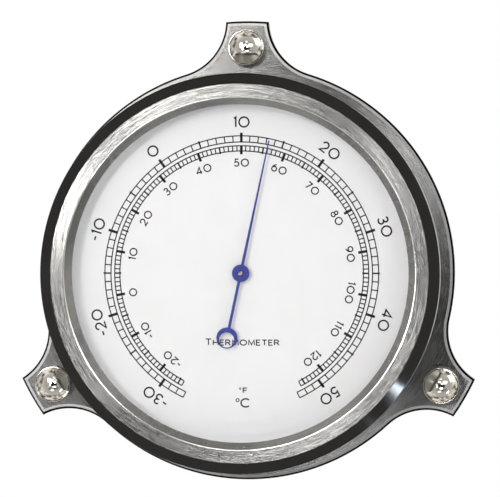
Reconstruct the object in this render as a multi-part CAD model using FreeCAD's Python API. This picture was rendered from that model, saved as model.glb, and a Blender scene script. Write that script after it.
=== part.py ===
# Wall-mounted dial thermometer with a bimetal spiral movement.
#
# Frame: origin at the centre of the back plate's rear face, on the pointer axis.
# X runs to the right of the dial, Z runs up, and the dial faces -Y. The wall plane is y = 0.
# "Depth" is the distance in front of the wall, so a depth d lies at y = -d.
# Angles run from +X towards +Z, anticlockwise as the reader of the dial sees them.

import math
import os

import FreeCAD, Part

# ---- back plate -------------------------------------------------------------------------
PLATE_RADIUS = 64.0
PLATE_THICKNESS = 4.0
PLATE_EDGE_BREAK = 0.6
LUG_ANGLES = (90.0, 210.0, 330.0)
LUG_END_RADIUS = 77.5
LUG_HALF_WIDTH = 6.6
LUG_FILLET_RADIUS = 17.5
LUG_HOLE_RADIUS = 2.1
LUG_SCREW_CIRCLE_RADIUS = 69.2
ACCESS_HOLE_RADIUS = 5.0

# ---- screws and tapped holes ------------------------------------------------------------
THREAD_GAP = 0.03
HEAD_GAP = 0.05
HEAD_SINK = 0.1
M3_RADIUS = 1.5
M3_HEAD_RADIUS = 2.75
M3_HEAD_HEIGHT = 1.65
M25_RADIUS = 1.25
M25_HEAD_RADIUS = 2.35
M25_HEAD_HEIGHT = 1.35
SLOT_WIDTH = 0.6
SLOT_DEPTH = 0.7
SCREW_LENGTH = 8.0

# ---- case drum --------------------------------------------------------------------------
DRUM_RADIUS = 57.5
DRUM_BORE_RADIUS = 53.5
DRUM_FRONT_DEPTH = 27.4
DIAL_SEAT_DEPTH = 23.0
DIAL_SEAT_RADIUS = 50.0
DIAL_SEAT_THICKNESS = 1.5
DIAL_RECESS_RADIUS = 53.2
DRUM_SCREW_CIRCLE_RADIUS = 55.5
DRUM_SCREW_ANGLES = (30.0, 150.0, 270.0)
VENT_COUNT = 12
VENT_HEIGHT = 3.0
VENT_LENGTH = 11.0
VENT_DEPTH = 8.0

# ---- bezel ring -------------------------------------------------------------------------
BEZEL_RADIUS = 60.3
BEZEL_FRONT_DEPTH = 34.0
BEZEL_SHOULDER_DEPTH = 32.6
BEZEL_REAR_DEPTH = 24.0
FRONT_FACE_OUTER_RADIUS = 57.0
FRONT_FACE_INNER_RADIUS = 53.0
FRONT_EDGE_BREAK = 0.2
LIP_RADIUS = 50.9
LIP_FRONT_DEPTH = 31.6
LIP_REAR_DEPTH = 31.2
GLASS_REBATE_RADIUS = 52.6
BEZEL_SKIRT_GAP = 0.08
REAR_EDGE_BREAK = 0.3
GRUB_DEPTH = 25.7
GRUB_TIP_RADIUS = 0.9
GRUB_TIP_REACH = 56.9
GRUB_OUTER_REACH = 59.9
GRUB_SOCKET_RADIUS = 0.72
GRUB_SOCKET_LENGTH = 1.0

# ---- glass and dial ---------------------------------------------------------------------
GASKET_THICKNESS = 0.3
GASKET_INNER_RADIUS = 51.1
GLASS_THICKNESS = 2.0
GLASS_RADIUS = 52.3
KEEPER_INNER_RADIUS = 51.2
SPACER_INNER_RADIUS = 52.2
SPACER_OUTER_RADIUS = 53.1
DIAL_THICKNESS = 0.8
DIAL_RADIUS = 52.9
DIAL_HOLE_RADIUS = 2.2
DIAL_FOOT_RADIUS = 0.9
DIAL_FOOT_CIRCLE_RADIUS = 20.0
DIAL_FOOT_ANGLES = (45.0, 225.0)
DIAL_FOOT_REAR_DEPTH = 18.6
FOOT_NUT_RADIUS = 2.3
FOOT_NUT_HEIGHT = 1.3

# ---- movement frame ---------------------------------------------------------------------
MOVEMENT_PLATE_RADIUS = 30.0
MOVEMENT_PLATE_REAR = 20.5
MOVEMENT_PLATE_FRONT = 22.0
CASE_PILLAR_RADIUS = 2.5
CASE_PILLAR_CIRCLE_RADIUS = 26.0
COCK_PILLAR_RADIUS = 2.5
COCK_PILLAR_CIRCLE_RADIUS = 24.0
COCK_PILLAR_ANGLES = (0.0, 180.0)
COCK_SPIGOT_RADIUS = 1.2
COCK_REAR = 6.0
COCK_FRONT = 8.0
COCK_HALF_WIDTH = 5.0
COCK_BOSS_RADIUS = 8.0
COCK_SCREW_HEAD_RADIUS = 2.2
COCK_SCREW_HEAD_HEIGHT = 1.4
FRONT_BUSH_RADIUS = 1.8
FRONT_BUSH_FLANGE_RADIUS = 2.8
FRONT_BUSH_REAR = 19.7
FRONT_BUSH_FRONT = 22.6

# ---- zero adjuster ----------------------------------------------------------------------
ADJUSTER_FLANGE_RADIUS = 5.5
ADJUSTER_FLANGE_REAR = 8.05
ADJUSTER_FLANGE_FRONT = 10.0
ADJUSTER_JOURNAL_RADIUS = 3.5
ADJUSTER_JOURNAL_GAP = 0.05
ADJUSTER_GROOVE_RADIUS = 3.0
ADJUSTER_REAR = 4.4
ADJUSTER_SLOT_WIDTH = 1.2
ADJUSTER_SLOT_DEPTH = 0.9
ADJUSTER_SPIGOT_RADIUS = 2.9
ADJUSTER_ARM_FRONT = 11.2
ADJUSTER_ARM_WIDTH = 5.0
REAR_BUSH_RADIUS = 1.8
REAR_BUSH_REAR = 7.5
SPRING_WASHER_RADIUS = 5.2
SPRING_WASHER_REAR = 5.4
KEEPER_CLIP_RADIUS = 4.8
KEEPER_CLIP_REAR = 4.8
KEEPER_CLIP_GAP_WIDTH = 2.2
STUD_RADIUS = 1.3
STUD_SPIGOT_RADIUS = 0.9
STUD_FRONT = 18.4

# ---- bimetal coil and pointer -----------------------------------------------------------
COIL_TURNS = 9
COIL_PITCH = 1.8
COIL_STRIP_THICKNESS = 0.35
COIL_REAR = 14.0
COIL_FRONT = 18.0
COIL_END_ANGLE = 270.0
COLLET_RADIUS = 3.2
COLLET_REAR = 13.5
COLLET_FRONT = 18.5
ARBOR_RADIUS = 1.2
ARBOR_REAR = 11.5
ARBOR_FRONT = 19.5
FRONT_PIVOT_RADIUS = 0.8
FRONT_PIVOT_END = 26.9
REAR_PIVOT_RADIUS = 0.5
REAR_PIVOT_END = 7.8
PIVOT_GAP = 0.03
PRESS_GAP = 0.01
POINTER_REAR = 25.95
POINTER_FRONT = 26.2
POINTER_REACH = 41.0
POINTER_ROOT_HALF_WIDTH = 0.31
POINTER_TIP_HALF_WIDTH = 0.125
POINTER_HUB_RADIUS = 2.65
POINTER_CLOCKWISE_ANGLE = 12.03
TAIL_HALF_WIDTH = 0.375
CRESCENT_DISTANCE = 20.0
CRESCENT_RADIUS = 3.2
CRESCENT_HOLE_RADIUS = 2.27
CRESCENT_HOLE_SHIFT = 0.6
POINTER_BUSH_RADIUS = 1.6
POINTER_BUSH_REAR = 24.6

# ---- lug screws -------------------------------------------------------------------------
LUG_SCREW_RADIUS = 2.0
LUG_SCREW_REACH = 9.0
LUG_SCREW_TIP_BREAK = 0.5
LUG_SCREW_NECK_RADIUS = 1.6
LUG_SCREW_THREAD_START = 0.3
LUG_WASHER_RADIUS = 4.5
LUG_WASHER_THICKNESS = 0.5
KNURL_OUTER_RADIUS = 5.6
KNURL_ROOT_RADIUS = 5.38
KNURL_RIDGES = 56
KNURL_HEIGHT = 4.2
KNURL_EDGE_BREAK = 0.35
DOME_BASE_RADIUS = 5.2
DOME_HEIGHT = 2.2

CENTRE = FreeCAD.Vector(0, 0, 0)
FORWARD = FreeCAD.Vector(0, -1, 0)


def polar(radius, angle, depth=0.0):
    """Point at a radius and angle about the pointer axis, at a depth in front of the wall."""
    turn = math.radians(angle)
    return FreeCAD.Vector(radius * math.cos(turn), -depth, radius * math.sin(turn))


def turned(profile):
    """Solid of revolution about the pointer axis from (radius, depth) corners."""
    corners = [FreeCAD.Vector(radius, -depth, 0) for radius, depth in profile]
    face = Part.Face(Part.makePolygon(corners + corners[:1]))
    solid = face.revolve(CENTRE, FORWARD, 360)
    if solid.Volume < 0:
        solid.reverse()
    return solid


def ring(inner, outer, rear, front):
    """Flat ring between two depths."""
    return turned([(inner, rear), (outer, rear), (outer, front), (inner, front)])


def rod(radius, rear, front, distance=0.0, angle=0.0):
    """Cylinder parallel to the pointer axis."""
    return Part.makeCylinder(radius, front - rear, polar(distance, angle, rear), FORWARD)


def spun(shape, angle):
    """Copy of a shape turned anticlockwise about the pointer axis."""
    copy = shape.copy()
    copy.rotate(CENTRE, FORWARD, angle)
    return copy


def shifted(shape, distance, angle):
    """Copy of a shape moved from the pointer axis to a radius and angle."""
    copy = shape.copy()
    copy.translate(polar(distance, angle))
    return copy


def repeated(shape, distance, angles):
    """Copies of a shape built on the pointer axis, one at each angle of a circle."""
    return [shifted(shape, distance, angle) for angle in angles]


def joined(first, others):
    """One solid made of several that meet."""
    return first.fuse(others).removeSplitter()


def sheet(outline, rear, front):
    """Flat plate from a closed list of edges lying at depth 0."""
    face = Part.Face(Part.Wire(outline))
    face.translate(FreeCAD.Vector(0, -rear, 0))
    plate = face.extrude(FreeCAD.Vector(0, rear - front, 0))
    if plate.Volume < 0:
        plate.reverse()
    return plate


def polygon_sheet(corners, rear, front):
    """Flat plate with straight sides from (x, z) corners."""
    points = [FreeCAD.Vector(x, 0, z) for x, z in corners]
    return sheet(Part.makePolygon(points + points[:1]).Edges, rear, front)


def arc(start, middle, end):
    """Circular edge through three points."""
    return Part.Arc(start, middle, end).toShape()


def driver_slot(width, rear, front, length=12.0):
    """Cutter for a screwdriver slot across the pointer axis."""
    corner = FreeCAD.Vector(-length / 2, -front, -width / 2)
    return Part.makeBox(length, front - rear, width, corner)


def countersunk(radius, head_radius, head_height, face, sense, length):
    """Countersunk screw body; sense is +1 when the screw points forward from its head face."""
    flare = face + sense * head_height
    tip = face + sense * length
    return turned([(0, face), (head_radius, face), (radius, flare), (radius, tip), (0, tip)])


def countersink(radius, head_radius, head_height, face, sense, length):
    """Cutter for a countersunk hole, opened out past the face so the head sits just below it."""
    mouth = face - sense * HEAD_SINK
    seat = face + sense * (HEAD_SINK + head_height)
    tip = face + sense * length
    wide = head_radius + HEAD_GAP
    return turned([(0, mouth), (wide, mouth), (wide, face + sense * HEAD_SINK),
                   (radius, seat), (radius, tip), (0, tip)])


def slotted_countersunk(radius, head_radius, head_height, face, sense):
    """Countersunk screw with a driver slot, its head sunk a little below the given face."""
    head_face = face + sense * HEAD_SINK
    body = countersunk(radius, head_radius, head_height, head_face, sense, SCREW_LENGTH)
    slot_floor = head_face + sense * SLOT_DEPTH
    slot_mouth = head_face - sense * SLOT_DEPTH
    slot = driver_slot(SLOT_WIDTH, min(slot_floor, slot_mouth), max(slot_floor, slot_mouth))
    return body.cut(slot)


def back_plate():
    """Round plate with three screw lugs, each running into the rim through hollow fillets."""
    reach = PLATE_RADIUS + LUG_FILLET_RADIUS
    corner_turn = math.degrees(math.asin(LUG_HALF_WIDTH / LUG_END_RADIUS))
    opening = (reach ** 2 + LUG_END_RADIUS ** 2 - LUG_FILLET_RADIUS ** 2) / (2 * reach * LUG_END_RADIUS)
    fillet_turn = corner_turn + math.degrees(math.acos(opening))
    rim_turn = 360.0 / len(LUG_ANGLES)
    outline = []
    for angle in LUG_ANGLES:
        for side in (-1, 1):
            hollow = polar(reach, angle + side * fillet_turn)
            on_rim = polar(PLATE_RADIUS, angle + side * fillet_turn)
            corner = polar(LUG_END_RADIUS, angle + side * corner_turn)
            inward = (on_rim + corner) * 0.5 - hollow
            inward.normalize()
            middle = hollow + inward * LUG_FILLET_RADIUS
            outline.append(arc(on_rim, middle, corner))
        outline.append(arc(polar(LUG_END_RADIUS, angle - corner_turn), polar(LUG_END_RADIUS, angle),
                           polar(LUG_END_RADIUS, angle + corner_turn)))
        outline.append(arc(polar(PLATE_RADIUS, angle + fillet_turn),
                           polar(PLATE_RADIUS, angle + rim_turn / 2),
                           polar(PLATE_RADIUS, angle + rim_turn - fillet_turn)))
    plate = sheet(Part.__sortEdges__(outline), 0.0, PLATE_THICKNESS)
    front_edges = [edge for edge in plate.Edges if abs(edge.BoundBox.YMax + PLATE_THICKNESS) < 1e-6]
    plate = plate.makeChamfer(PLATE_EDGE_BREAK, front_edges)
    cuts = [rod(ACCESS_HOLE_RADIUS, -1, PLATE_THICKNESS + 1)]
    for angle in LUG_ANGLES:
        cuts.append(rod(LUG_HOLE_RADIUS, -1, PLATE_THICKNESS + 1, LUG_SCREW_CIRCLE_RADIUS, angle))
    through = PLATE_THICKNESS + 1
    pillar_hole = countersink(M3_RADIUS + THREAD_GAP, M3_HEAD_RADIUS, M3_HEAD_HEIGHT, 0.0, 1, through)
    drum_hole = countersink(M25_RADIUS + THREAD_GAP, M25_HEAD_RADIUS, M25_HEAD_HEIGHT, 0.0, 1, through)
    cuts += repeated(pillar_hole, CASE_PILLAR_CIRCLE_RADIUS, LUG_ANGLES)
    cuts += repeated(drum_hole, DRUM_SCREW_CIRCLE_RADIUS, DRUM_SCREW_ANGLES)
    return plate.cut(cuts)


def radial_rod(radius, inner, outer, depth, angle):
    """Cylinder pointing outward from the pointer axis."""
    pin = Part.makeCylinder(radius, outer - inner, FreeCAD.Vector(inner, -depth, 0), FreeCAD.Vector(1, 0, 0))
    return spun(pin, angle)


def vent_cutter(angle):
    """Round-ended slot through the drum wall."""
    half = (VENT_LENGTH - VENT_HEIGHT) / 2
    reach = DRUM_RADIUS + 2 - DIAL_SEAT_RADIUS
    start = FreeCAD.Vector(DIAL_SEAT_RADIUS, -VENT_DEPTH - VENT_HEIGHT / 2, -half)
    cutter = Part.makeBox(reach, VENT_HEIGHT, 2 * half, start)
    for end in (-half, half):
        middle = FreeCAD.Vector(DIAL_SEAT_RADIUS, -VENT_DEPTH, end)
        cutter = cutter.fuse(Part.makeCylinder(VENT_HEIGHT / 2, reach, middle, FreeCAD.Vector(1, 0, 0)))
    return spun(cutter, angle)


def case_drum():
    """Tube standing on the plate, with an inner ledge for the dial and vents near the wall."""
    seat_rear = DIAL_SEAT_DEPTH - DIAL_SEAT_THICKNESS
    drum = turned([
        (DRUM_BORE_RADIUS, PLATE_THICKNESS),
        (DRUM_RADIUS, PLATE_THICKNESS),
        (DRUM_RADIUS, DRUM_FRONT_DEPTH),
        (DIAL_RECESS_RADIUS, DRUM_FRONT_DEPTH),
        (DIAL_RECESS_RADIUS, DIAL_SEAT_DEPTH),
        (DIAL_SEAT_RADIUS, DIAL_SEAT_DEPTH),
        (DIAL_SEAT_RADIUS, seat_rear),
        (DRUM_BORE_RADIUS, seat_rear),
    ])
    cuts = []
    for angle in DRUM_SCREW_ANGLES:
        cuts.append(rod(M25_RADIUS + THREAD_GAP, PLATE_THICKNESS - 1, SCREW_LENGTH + 2,
                        DRUM_SCREW_CIRCLE_RADIUS, angle))
        cuts.append(radial_rod(GRUB_TIP_RADIUS + THREAD_GAP, GRUB_TIP_REACH - THREAD_GAP, DRUM_RADIUS + 1,
                               GRUB_DEPTH, angle))
    step = 360.0 / VENT_COUNT
    for index in range(VENT_COUNT):
        cuts.append(vent_cutter((index + 0.5) * step))
    return drum.cut(cuts)


def bezel_ring():
    """Screwed-on front ring: bevelled outside, flat front face, bevelled lip over the glass."""
    skirt_bore = DRUM_RADIUS + BEZEL_SKIRT_GAP
    bezel = turned([
        (FRONT_FACE_INNER_RADIUS + FRONT_EDGE_BREAK, BEZEL_FRONT_DEPTH),
        (FRONT_FACE_OUTER_RADIUS - FRONT_EDGE_BREAK, BEZEL_FRONT_DEPTH),
        (FRONT_FACE_OUTER_RADIUS, BEZEL_FRONT_DEPTH - FRONT_EDGE_BREAK / 2),
        (BEZEL_RADIUS - FRONT_EDGE_BREAK / 2, BEZEL_SHOULDER_DEPTH),
        (BEZEL_RADIUS, BEZEL_SHOULDER_DEPTH - FRONT_EDGE_BREAK),
        (BEZEL_RADIUS, BEZEL_REAR_DEPTH + REAR_EDGE_BREAK),
        (BEZEL_RADIUS - REAR_EDGE_BREAK, BEZEL_REAR_DEPTH),
        (skirt_bore, BEZEL_REAR_DEPTH),
        (skirt_bore, DRUM_FRONT_DEPTH),
        (GLASS_REBATE_RADIUS, DRUM_FRONT_DEPTH),
        (GLASS_REBATE_RADIUS, LIP_REAR_DEPTH),
        (LIP_RADIUS, LIP_REAR_DEPTH),
        (LIP_RADIUS, LIP_FRONT_DEPTH),
        (FRONT_FACE_INNER_RADIUS, BEZEL_FRONT_DEPTH - FRONT_EDGE_BREAK),
    ])
    holes = [radial_rod(M25_RADIUS + THREAD_GAP, DIAL_RECESS_RADIUS, BEZEL_RADIUS + 1, GRUB_DEPTH, angle)
             for angle in DRUM_SCREW_ANGLES]
    return bezel.cut(holes)


def grub_screw(angle):
    """Socket set screw that locks the bezel to the drum."""
    shoulder = DRUM_RADIUS + BEZEL_SKIRT_GAP
    body = joined(radial_rod(M25_RADIUS, shoulder, GRUB_OUTER_REACH, GRUB_DEPTH, 0),
                  [radial_rod(GRUB_TIP_RADIUS, GRUB_TIP_REACH, shoulder, GRUB_DEPTH, 0)])
    floor = GRUB_OUTER_REACH - GRUB_SOCKET_LENGTH
    corners = []
    for index in range(6):
        turn = math.radians(60 * index)
        corners.append(FreeCAD.Vector(floor, -GRUB_DEPTH + GRUB_SOCKET_RADIUS * math.cos(turn),
                                      GRUB_SOCKET_RADIUS * math.sin(turn)))
    socket = Part.Face(Part.makePolygon(corners + corners[:1]))
    body = body.cut(socket.extrude(FreeCAD.Vector(GRUB_SOCKET_LENGTH * 2, 0, 0)))
    return spun(body, angle)


def dial():
    """Thin dial sheet with a centre hole."""
    return ring(DIAL_HOLE_RADIUS, DIAL_RADIUS, DIAL_SEAT_DEPTH, DIAL_SEAT_DEPTH + DIAL_THICKNESS)


def dial_foot_nut():
    """Small hexagon nut clamping a dial foot to the movement plate."""
    corners = [polar(FOOT_NUT_RADIUS, 60 * index) for index in range(6)]
    edges = Part.makePolygon(corners + corners[:1]).Edges
    nut = sheet(edges, MOVEMENT_PLATE_REAR - FOOT_NUT_HEIGHT, MOVEMENT_PLATE_REAR)
    return nut.cut(rod(DIAL_FOOT_RADIUS + THREAD_GAP, DIAL_FOOT_REAR_DEPTH, DIAL_SEAT_DEPTH))


def movement_plate():
    """Brass disc that carries the front bush, the cock pillars and the dial."""
    plate = ring(FRONT_BUSH_RADIUS + PRESS_GAP, MOVEMENT_PLATE_RADIUS, MOVEMENT_PLATE_REAR,
                 MOVEMENT_PLATE_FRONT)
    thickness = MOVEMENT_PLATE_FRONT - MOVEMENT_PLATE_REAR
    screw_hole = countersink(M25_RADIUS + THREAD_GAP, M25_HEAD_RADIUS, M25_HEAD_HEIGHT,
                             MOVEMENT_PLATE_FRONT, -1, thickness + 1)
    spigot_hole = rod(COCK_SPIGOT_RADIUS + PRESS_GAP, MOVEMENT_PLATE_REAR - 1, MOVEMENT_PLATE_FRONT + 1)
    foot_hole = rod(DIAL_FOOT_RADIUS + HEAD_GAP, MOVEMENT_PLATE_REAR - 1, MOVEMENT_PLATE_FRONT + 1)
    cuts = repeated(screw_hole, CASE_PILLAR_CIRCLE_RADIUS, LUG_ANGLES)
    cuts += repeated(spigot_hole, COCK_PILLAR_CIRCLE_RADIUS, COCK_PILLAR_ANGLES)
    cuts += repeated(foot_hole, DIAL_FOOT_CIRCLE_RADIUS, DIAL_FOOT_ANGLES)
    return plate.cut(cuts)


def case_pillar():
    """Spacer tapped at both ends, between the back plate and the movement plate."""
    pillar = rod(CASE_PILLAR_RADIUS, PLATE_THICKNESS, MOVEMENT_PLATE_REAR)
    rear_tap = rod(M3_RADIUS + THREAD_GAP, PLATE_THICKNESS - 1, SCREW_LENGTH + 1)
    front_tap = rod(M25_RADIUS + THREAD_GAP, MOVEMENT_PLATE_FRONT - SCREW_LENGTH - 1, MOVEMENT_PLATE_REAR + 1)
    return pillar.cut([rear_tap, front_tap])


def cock_pillar():
    """Pillar riveted into the movement plate and tapped for the cock's screw."""
    pillar = joined(rod(COCK_PILLAR_RADIUS, COCK_FRONT, MOVEMENT_PLATE_REAR),
                    [rod(COCK_SPIGOT_RADIUS, MOVEMENT_PLATE_REAR, MOVEMENT_PLATE_FRONT)])
    return pillar.cut(rod(M25_RADIUS + THREAD_GAP, COCK_FRONT - 1, COCK_REAR + SCREW_LENGTH + 1))


def rear_cock():
    """Bridge across the back of the movement, bored for the zero adjuster."""
    reach = COCK_PILLAR_CIRCLE_RADIUS
    half = COCK_HALF_WIDTH
    bar = polygon_sheet([(-reach, -half), (reach, -half), (reach, half), (-reach, half)],
                        COCK_REAR, COCK_FRONT)
    ends = [rod(half, COCK_REAR, COCK_FRONT, reach, angle) for angle in COCK_PILLAR_ANGLES]
    cock = joined(bar, ends + [rod(COCK_BOSS_RADIUS, COCK_REAR, COCK_FRONT)])
    journal = rod(ADJUSTER_JOURNAL_RADIUS + ADJUSTER_JOURNAL_GAP, COCK_REAR - 1, COCK_FRONT + 1)
    screw_hole = rod(M25_RADIUS + THREAD_GAP, COCK_REAR - 1, COCK_FRONT + 1)
    return cock.cut([journal] + repeated(screw_hole, reach, COCK_PILLAR_ANGLES))


def cock_screw():
    """Cheese-head screw holding the cock to its pillar."""
    head_rear = COCK_REAR - COCK_SCREW_HEAD_HEIGHT
    screw = joined(rod(COCK_SCREW_HEAD_RADIUS, head_rear, COCK_REAR),
                   [rod(M25_RADIUS, COCK_REAR, COCK_REAR + SCREW_LENGTH)])
    return screw.cut(driver_slot(SLOT_WIDTH, head_rear - 1, head_rear + SLOT_DEPTH))


def front_bush():
    """Flanged bearing for the arbor's front pivot."""
    bore = FRONT_PIVOT_RADIUS + PIVOT_GAP
    return turned([
        (bore, FRONT_BUSH_REAR),
        (FRONT_BUSH_FLANGE_RADIUS, FRONT_BUSH_REAR),
        (FRONT_BUSH_FLANGE_RADIUS, MOVEMENT_PLATE_REAR),
        (FRONT_BUSH_RADIUS, MOVEMENT_PLATE_REAR),
        (FRONT_BUSH_RADIUS, FRONT_BUSH_FRONT),
        (bore, FRONT_BUSH_FRONT),
    ])


def adjuster_hub():
    """Slotted hub turning in the cock, with a groove for its clip and a seat for the rear bush."""
    bush_seat = REAR_BUSH_RADIUS + PRESS_GAP
    hub = turned([
        (0, ADJUSTER_REAR),
        (ADJUSTER_JOURNAL_RADIUS, ADJUSTER_REAR),
        (ADJUSTER_JOURNAL_RADIUS, KEEPER_CLIP_REAR),
        (ADJUSTER_GROOVE_RADIUS, KEEPER_CLIP_REAR),
        (ADJUSTER_GROOVE_RADIUS, SPRING_WASHER_REAR),
        (ADJUSTER_JOURNAL_RADIUS, SPRING_WASHER_REAR),
        (ADJUSTER_JOURNAL_RADIUS, ADJUSTER_FLANGE_REAR),
        (ADJUSTER_FLANGE_RADIUS, ADJUSTER_FLANGE_REAR),
        (ADJUSTER_FLANGE_RADIUS, ADJUSTER_FLANGE_FRONT),
        (ADJUSTER_SPIGOT_RADIUS, ADJUSTER_FLANGE_FRONT),
        (ADJUSTER_SPIGOT_RADIUS, ADJUSTER_ARM_FRONT),
        (bush_seat, ADJUSTER_ARM_FRONT),
        (bush_seat, REAR_BUSH_REAR),
        (0, REAR_BUSH_REAR),
    ])
    slot = driver_slot(ADJUSTER_SLOT_WIDTH, ADJUSTER_REAR - 1, ADJUSTER_REAR + ADJUSTER_SLOT_DEPTH)
    return hub.cut(slot)


def coil_end_radius():
    """Radius of the strip's centre line where the coil meets its stud."""
    return COLLET_RADIUS + PRESS_GAP + COIL_STRIP_THICKNESS / 2 + COIL_TURNS * COIL_PITCH


def adjuster_arm():
    """Arm riveted on the hub, reaching down to the stud that anchors the coil."""
    reach = coil_end_radius()
    half = ADJUSTER_ARM_WIDTH / 2
    bar = polygon_sheet([(-half, 0), (half, 0), (half, -reach), (-half, -reach)],
                        ADJUSTER_FLANGE_FRONT, ADJUSTER_ARM_FRONT)
    disc = rod(ADJUSTER_FLANGE_RADIUS, ADJUSTER_FLANGE_FRONT, ADJUSTER_ARM_FRONT)
    tip = rod(half, ADJUSTER_FLANGE_FRONT, ADJUSTER_ARM_FRONT, reach, COIL_END_ANGLE)
    arm = joined(bar, [disc, tip])
    hub_hole = rod(ADJUSTER_SPIGOT_RADIUS + PRESS_GAP, ADJUSTER_FLANGE_FRONT - 1, ADJUSTER_ARM_FRONT + 1)
    stud_hole = rod(STUD_SPIGOT_RADIUS + PRESS_GAP, ADJUSTER_FLANGE_FRONT - 1, ADJUSTER_ARM_FRONT + 1,
                    reach, COIL_END_ANGLE)
    return arm.cut([hub_hole, stud_hole])


def keeper_clip():
    """Open clip in the hub's groove that holds the spring washer against the cock."""
    clip = ring(ADJUSTER_GROOVE_RADIUS + PRESS_GAP, KEEPER_CLIP_RADIUS, KEEPER_CLIP_REAR,
                SPRING_WASHER_REAR)
    half = KEEPER_CLIP_GAP_WIDTH / 2
    top = 2 * KEEPER_CLIP_RADIUS
    mouth = polygon_sheet([(-half, 0), (half, 0), (half, top), (-half, top)],
                          KEEPER_CLIP_REAR - 1, SPRING_WASHER_REAR + 1)
    return clip.cut(mouth)


def bimetal_coil():
    """Spiral strip built from half turns about two centres half a pitch apart."""
    start_radius = COLLET_RADIUS + PRESS_GAP + COIL_STRIP_THICKNESS / 2
    sides = []
    for offset in (-COIL_STRIP_THICKNESS / 2, COIL_STRIP_THICKNESS / 2):
        arcs = []
        for half_turn in range(2 * COIL_TURNS):
            lower = half_turn % 2
            centre = lower * COIL_PITCH / 2
            radius = start_radius + half_turn * COIL_PITCH / 2 + offset
            sign = -1 if lower else 1
            arcs.append(arc(FreeCAD.Vector(centre + sign * radius, 0, 0),
                            FreeCAD.Vector(centre, 0, sign * radius),
                            FreeCAD.Vector(centre - sign * radius, 0, 0)))
        sides.append(arcs)
    inner, outer = sides
    ends = [Part.makeLine(inner[0].Vertexes[0].Point, outer[0].Vertexes[0].Point),
            Part.makeLine(inner[-1].Vertexes[-1].Point, outer[-1].Vertexes[-1].Point)]
    strip = sheet(Part.__sortEdges__(inner + outer + ends), COIL_REAR, COIL_FRONT)
    return spun(strip, COIL_END_ANGLE)


def coil_stud(coil):
    """Stud on the adjuster arm, slotted to grip the outer end of the coil."""
    reach = coil_end_radius()
    stud = joined(rod(STUD_RADIUS, ADJUSTER_ARM_FRONT, STUD_FRONT, reach, COIL_END_ANGLE),
                  [rod(STUD_SPIGOT_RADIUS, ADJUSTER_FLANGE_FRONT, ADJUSTER_ARM_FRONT, reach, COIL_END_ANGLE)])
    return stud.cut(coil)


def arbor():
    """Pointer spindle with a fine pivot at each end."""
    tip_break = FRONT_PIVOT_RADIUS / 4
    return turned([
        (0, REAR_PIVOT_END),
        (REAR_PIVOT_RADIUS, REAR_PIVOT_END),
        (REAR_PIVOT_RADIUS, ARBOR_REAR),
        (ARBOR_RADIUS, ARBOR_REAR),
        (ARBOR_RADIUS, ARBOR_FRONT),
        (FRONT_PIVOT_RADIUS, ARBOR_FRONT),
        (FRONT_PIVOT_RADIUS, FRONT_PIVOT_END - tip_break),
        (FRONT_PIVOT_RADIUS - tip_break, FRONT_PIVOT_END),
        (0, FRONT_PIVOT_END),
    ])


def pointer():
    """Flat pointer with a tapering blade, a round hub and a crescent counterweight."""
    blade = polygon_sheet([(-POINTER_ROOT_HALF_WIDTH, 0), (POINTER_ROOT_HALF_WIDTH, 0),
                           (POINTER_TIP_HALF_WIDTH, POINTER_REACH),
                           (-POINTER_TIP_HALF_WIDTH, POINTER_REACH)], POINTER_REAR, POINTER_FRONT)
    ring_wall = CRESCENT_DISTANCE - CRESCENT_HOLE_RADIUS
    tail = polygon_sheet([(-TAIL_HALF_WIDTH, 0), (TAIL_HALF_WIDTH, 0),
                          (TAIL_HALF_WIDTH, -ring_wall), (-TAIL_HALF_WIDTH, -ring_wall)],
                         POINTER_REAR, POINTER_FRONT)
    hub = rod(POINTER_HUB_RADIUS, POINTER_REAR, POINTER_FRONT)
    crescent = rod(CRESCENT_RADIUS, POINTER_REAR, POINTER_FRONT, CRESCENT_DISTANCE, 270)
    body = joined(hub, [blade, tail, crescent])
    hole_distance = CRESCENT_DISTANCE + CRESCENT_HOLE_SHIFT
    body = body.cut([
        rod(CRESCENT_HOLE_RADIUS, POINTER_REAR - 1, POINTER_FRONT + 1, hole_distance, 270),
        rod(FRONT_PIVOT_RADIUS + PRESS_GAP, POINTER_REAR - 1, POINTER_FRONT + 1),
    ])
    return spun(body, -POINTER_CLOCKWISE_ANGLE)


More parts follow.
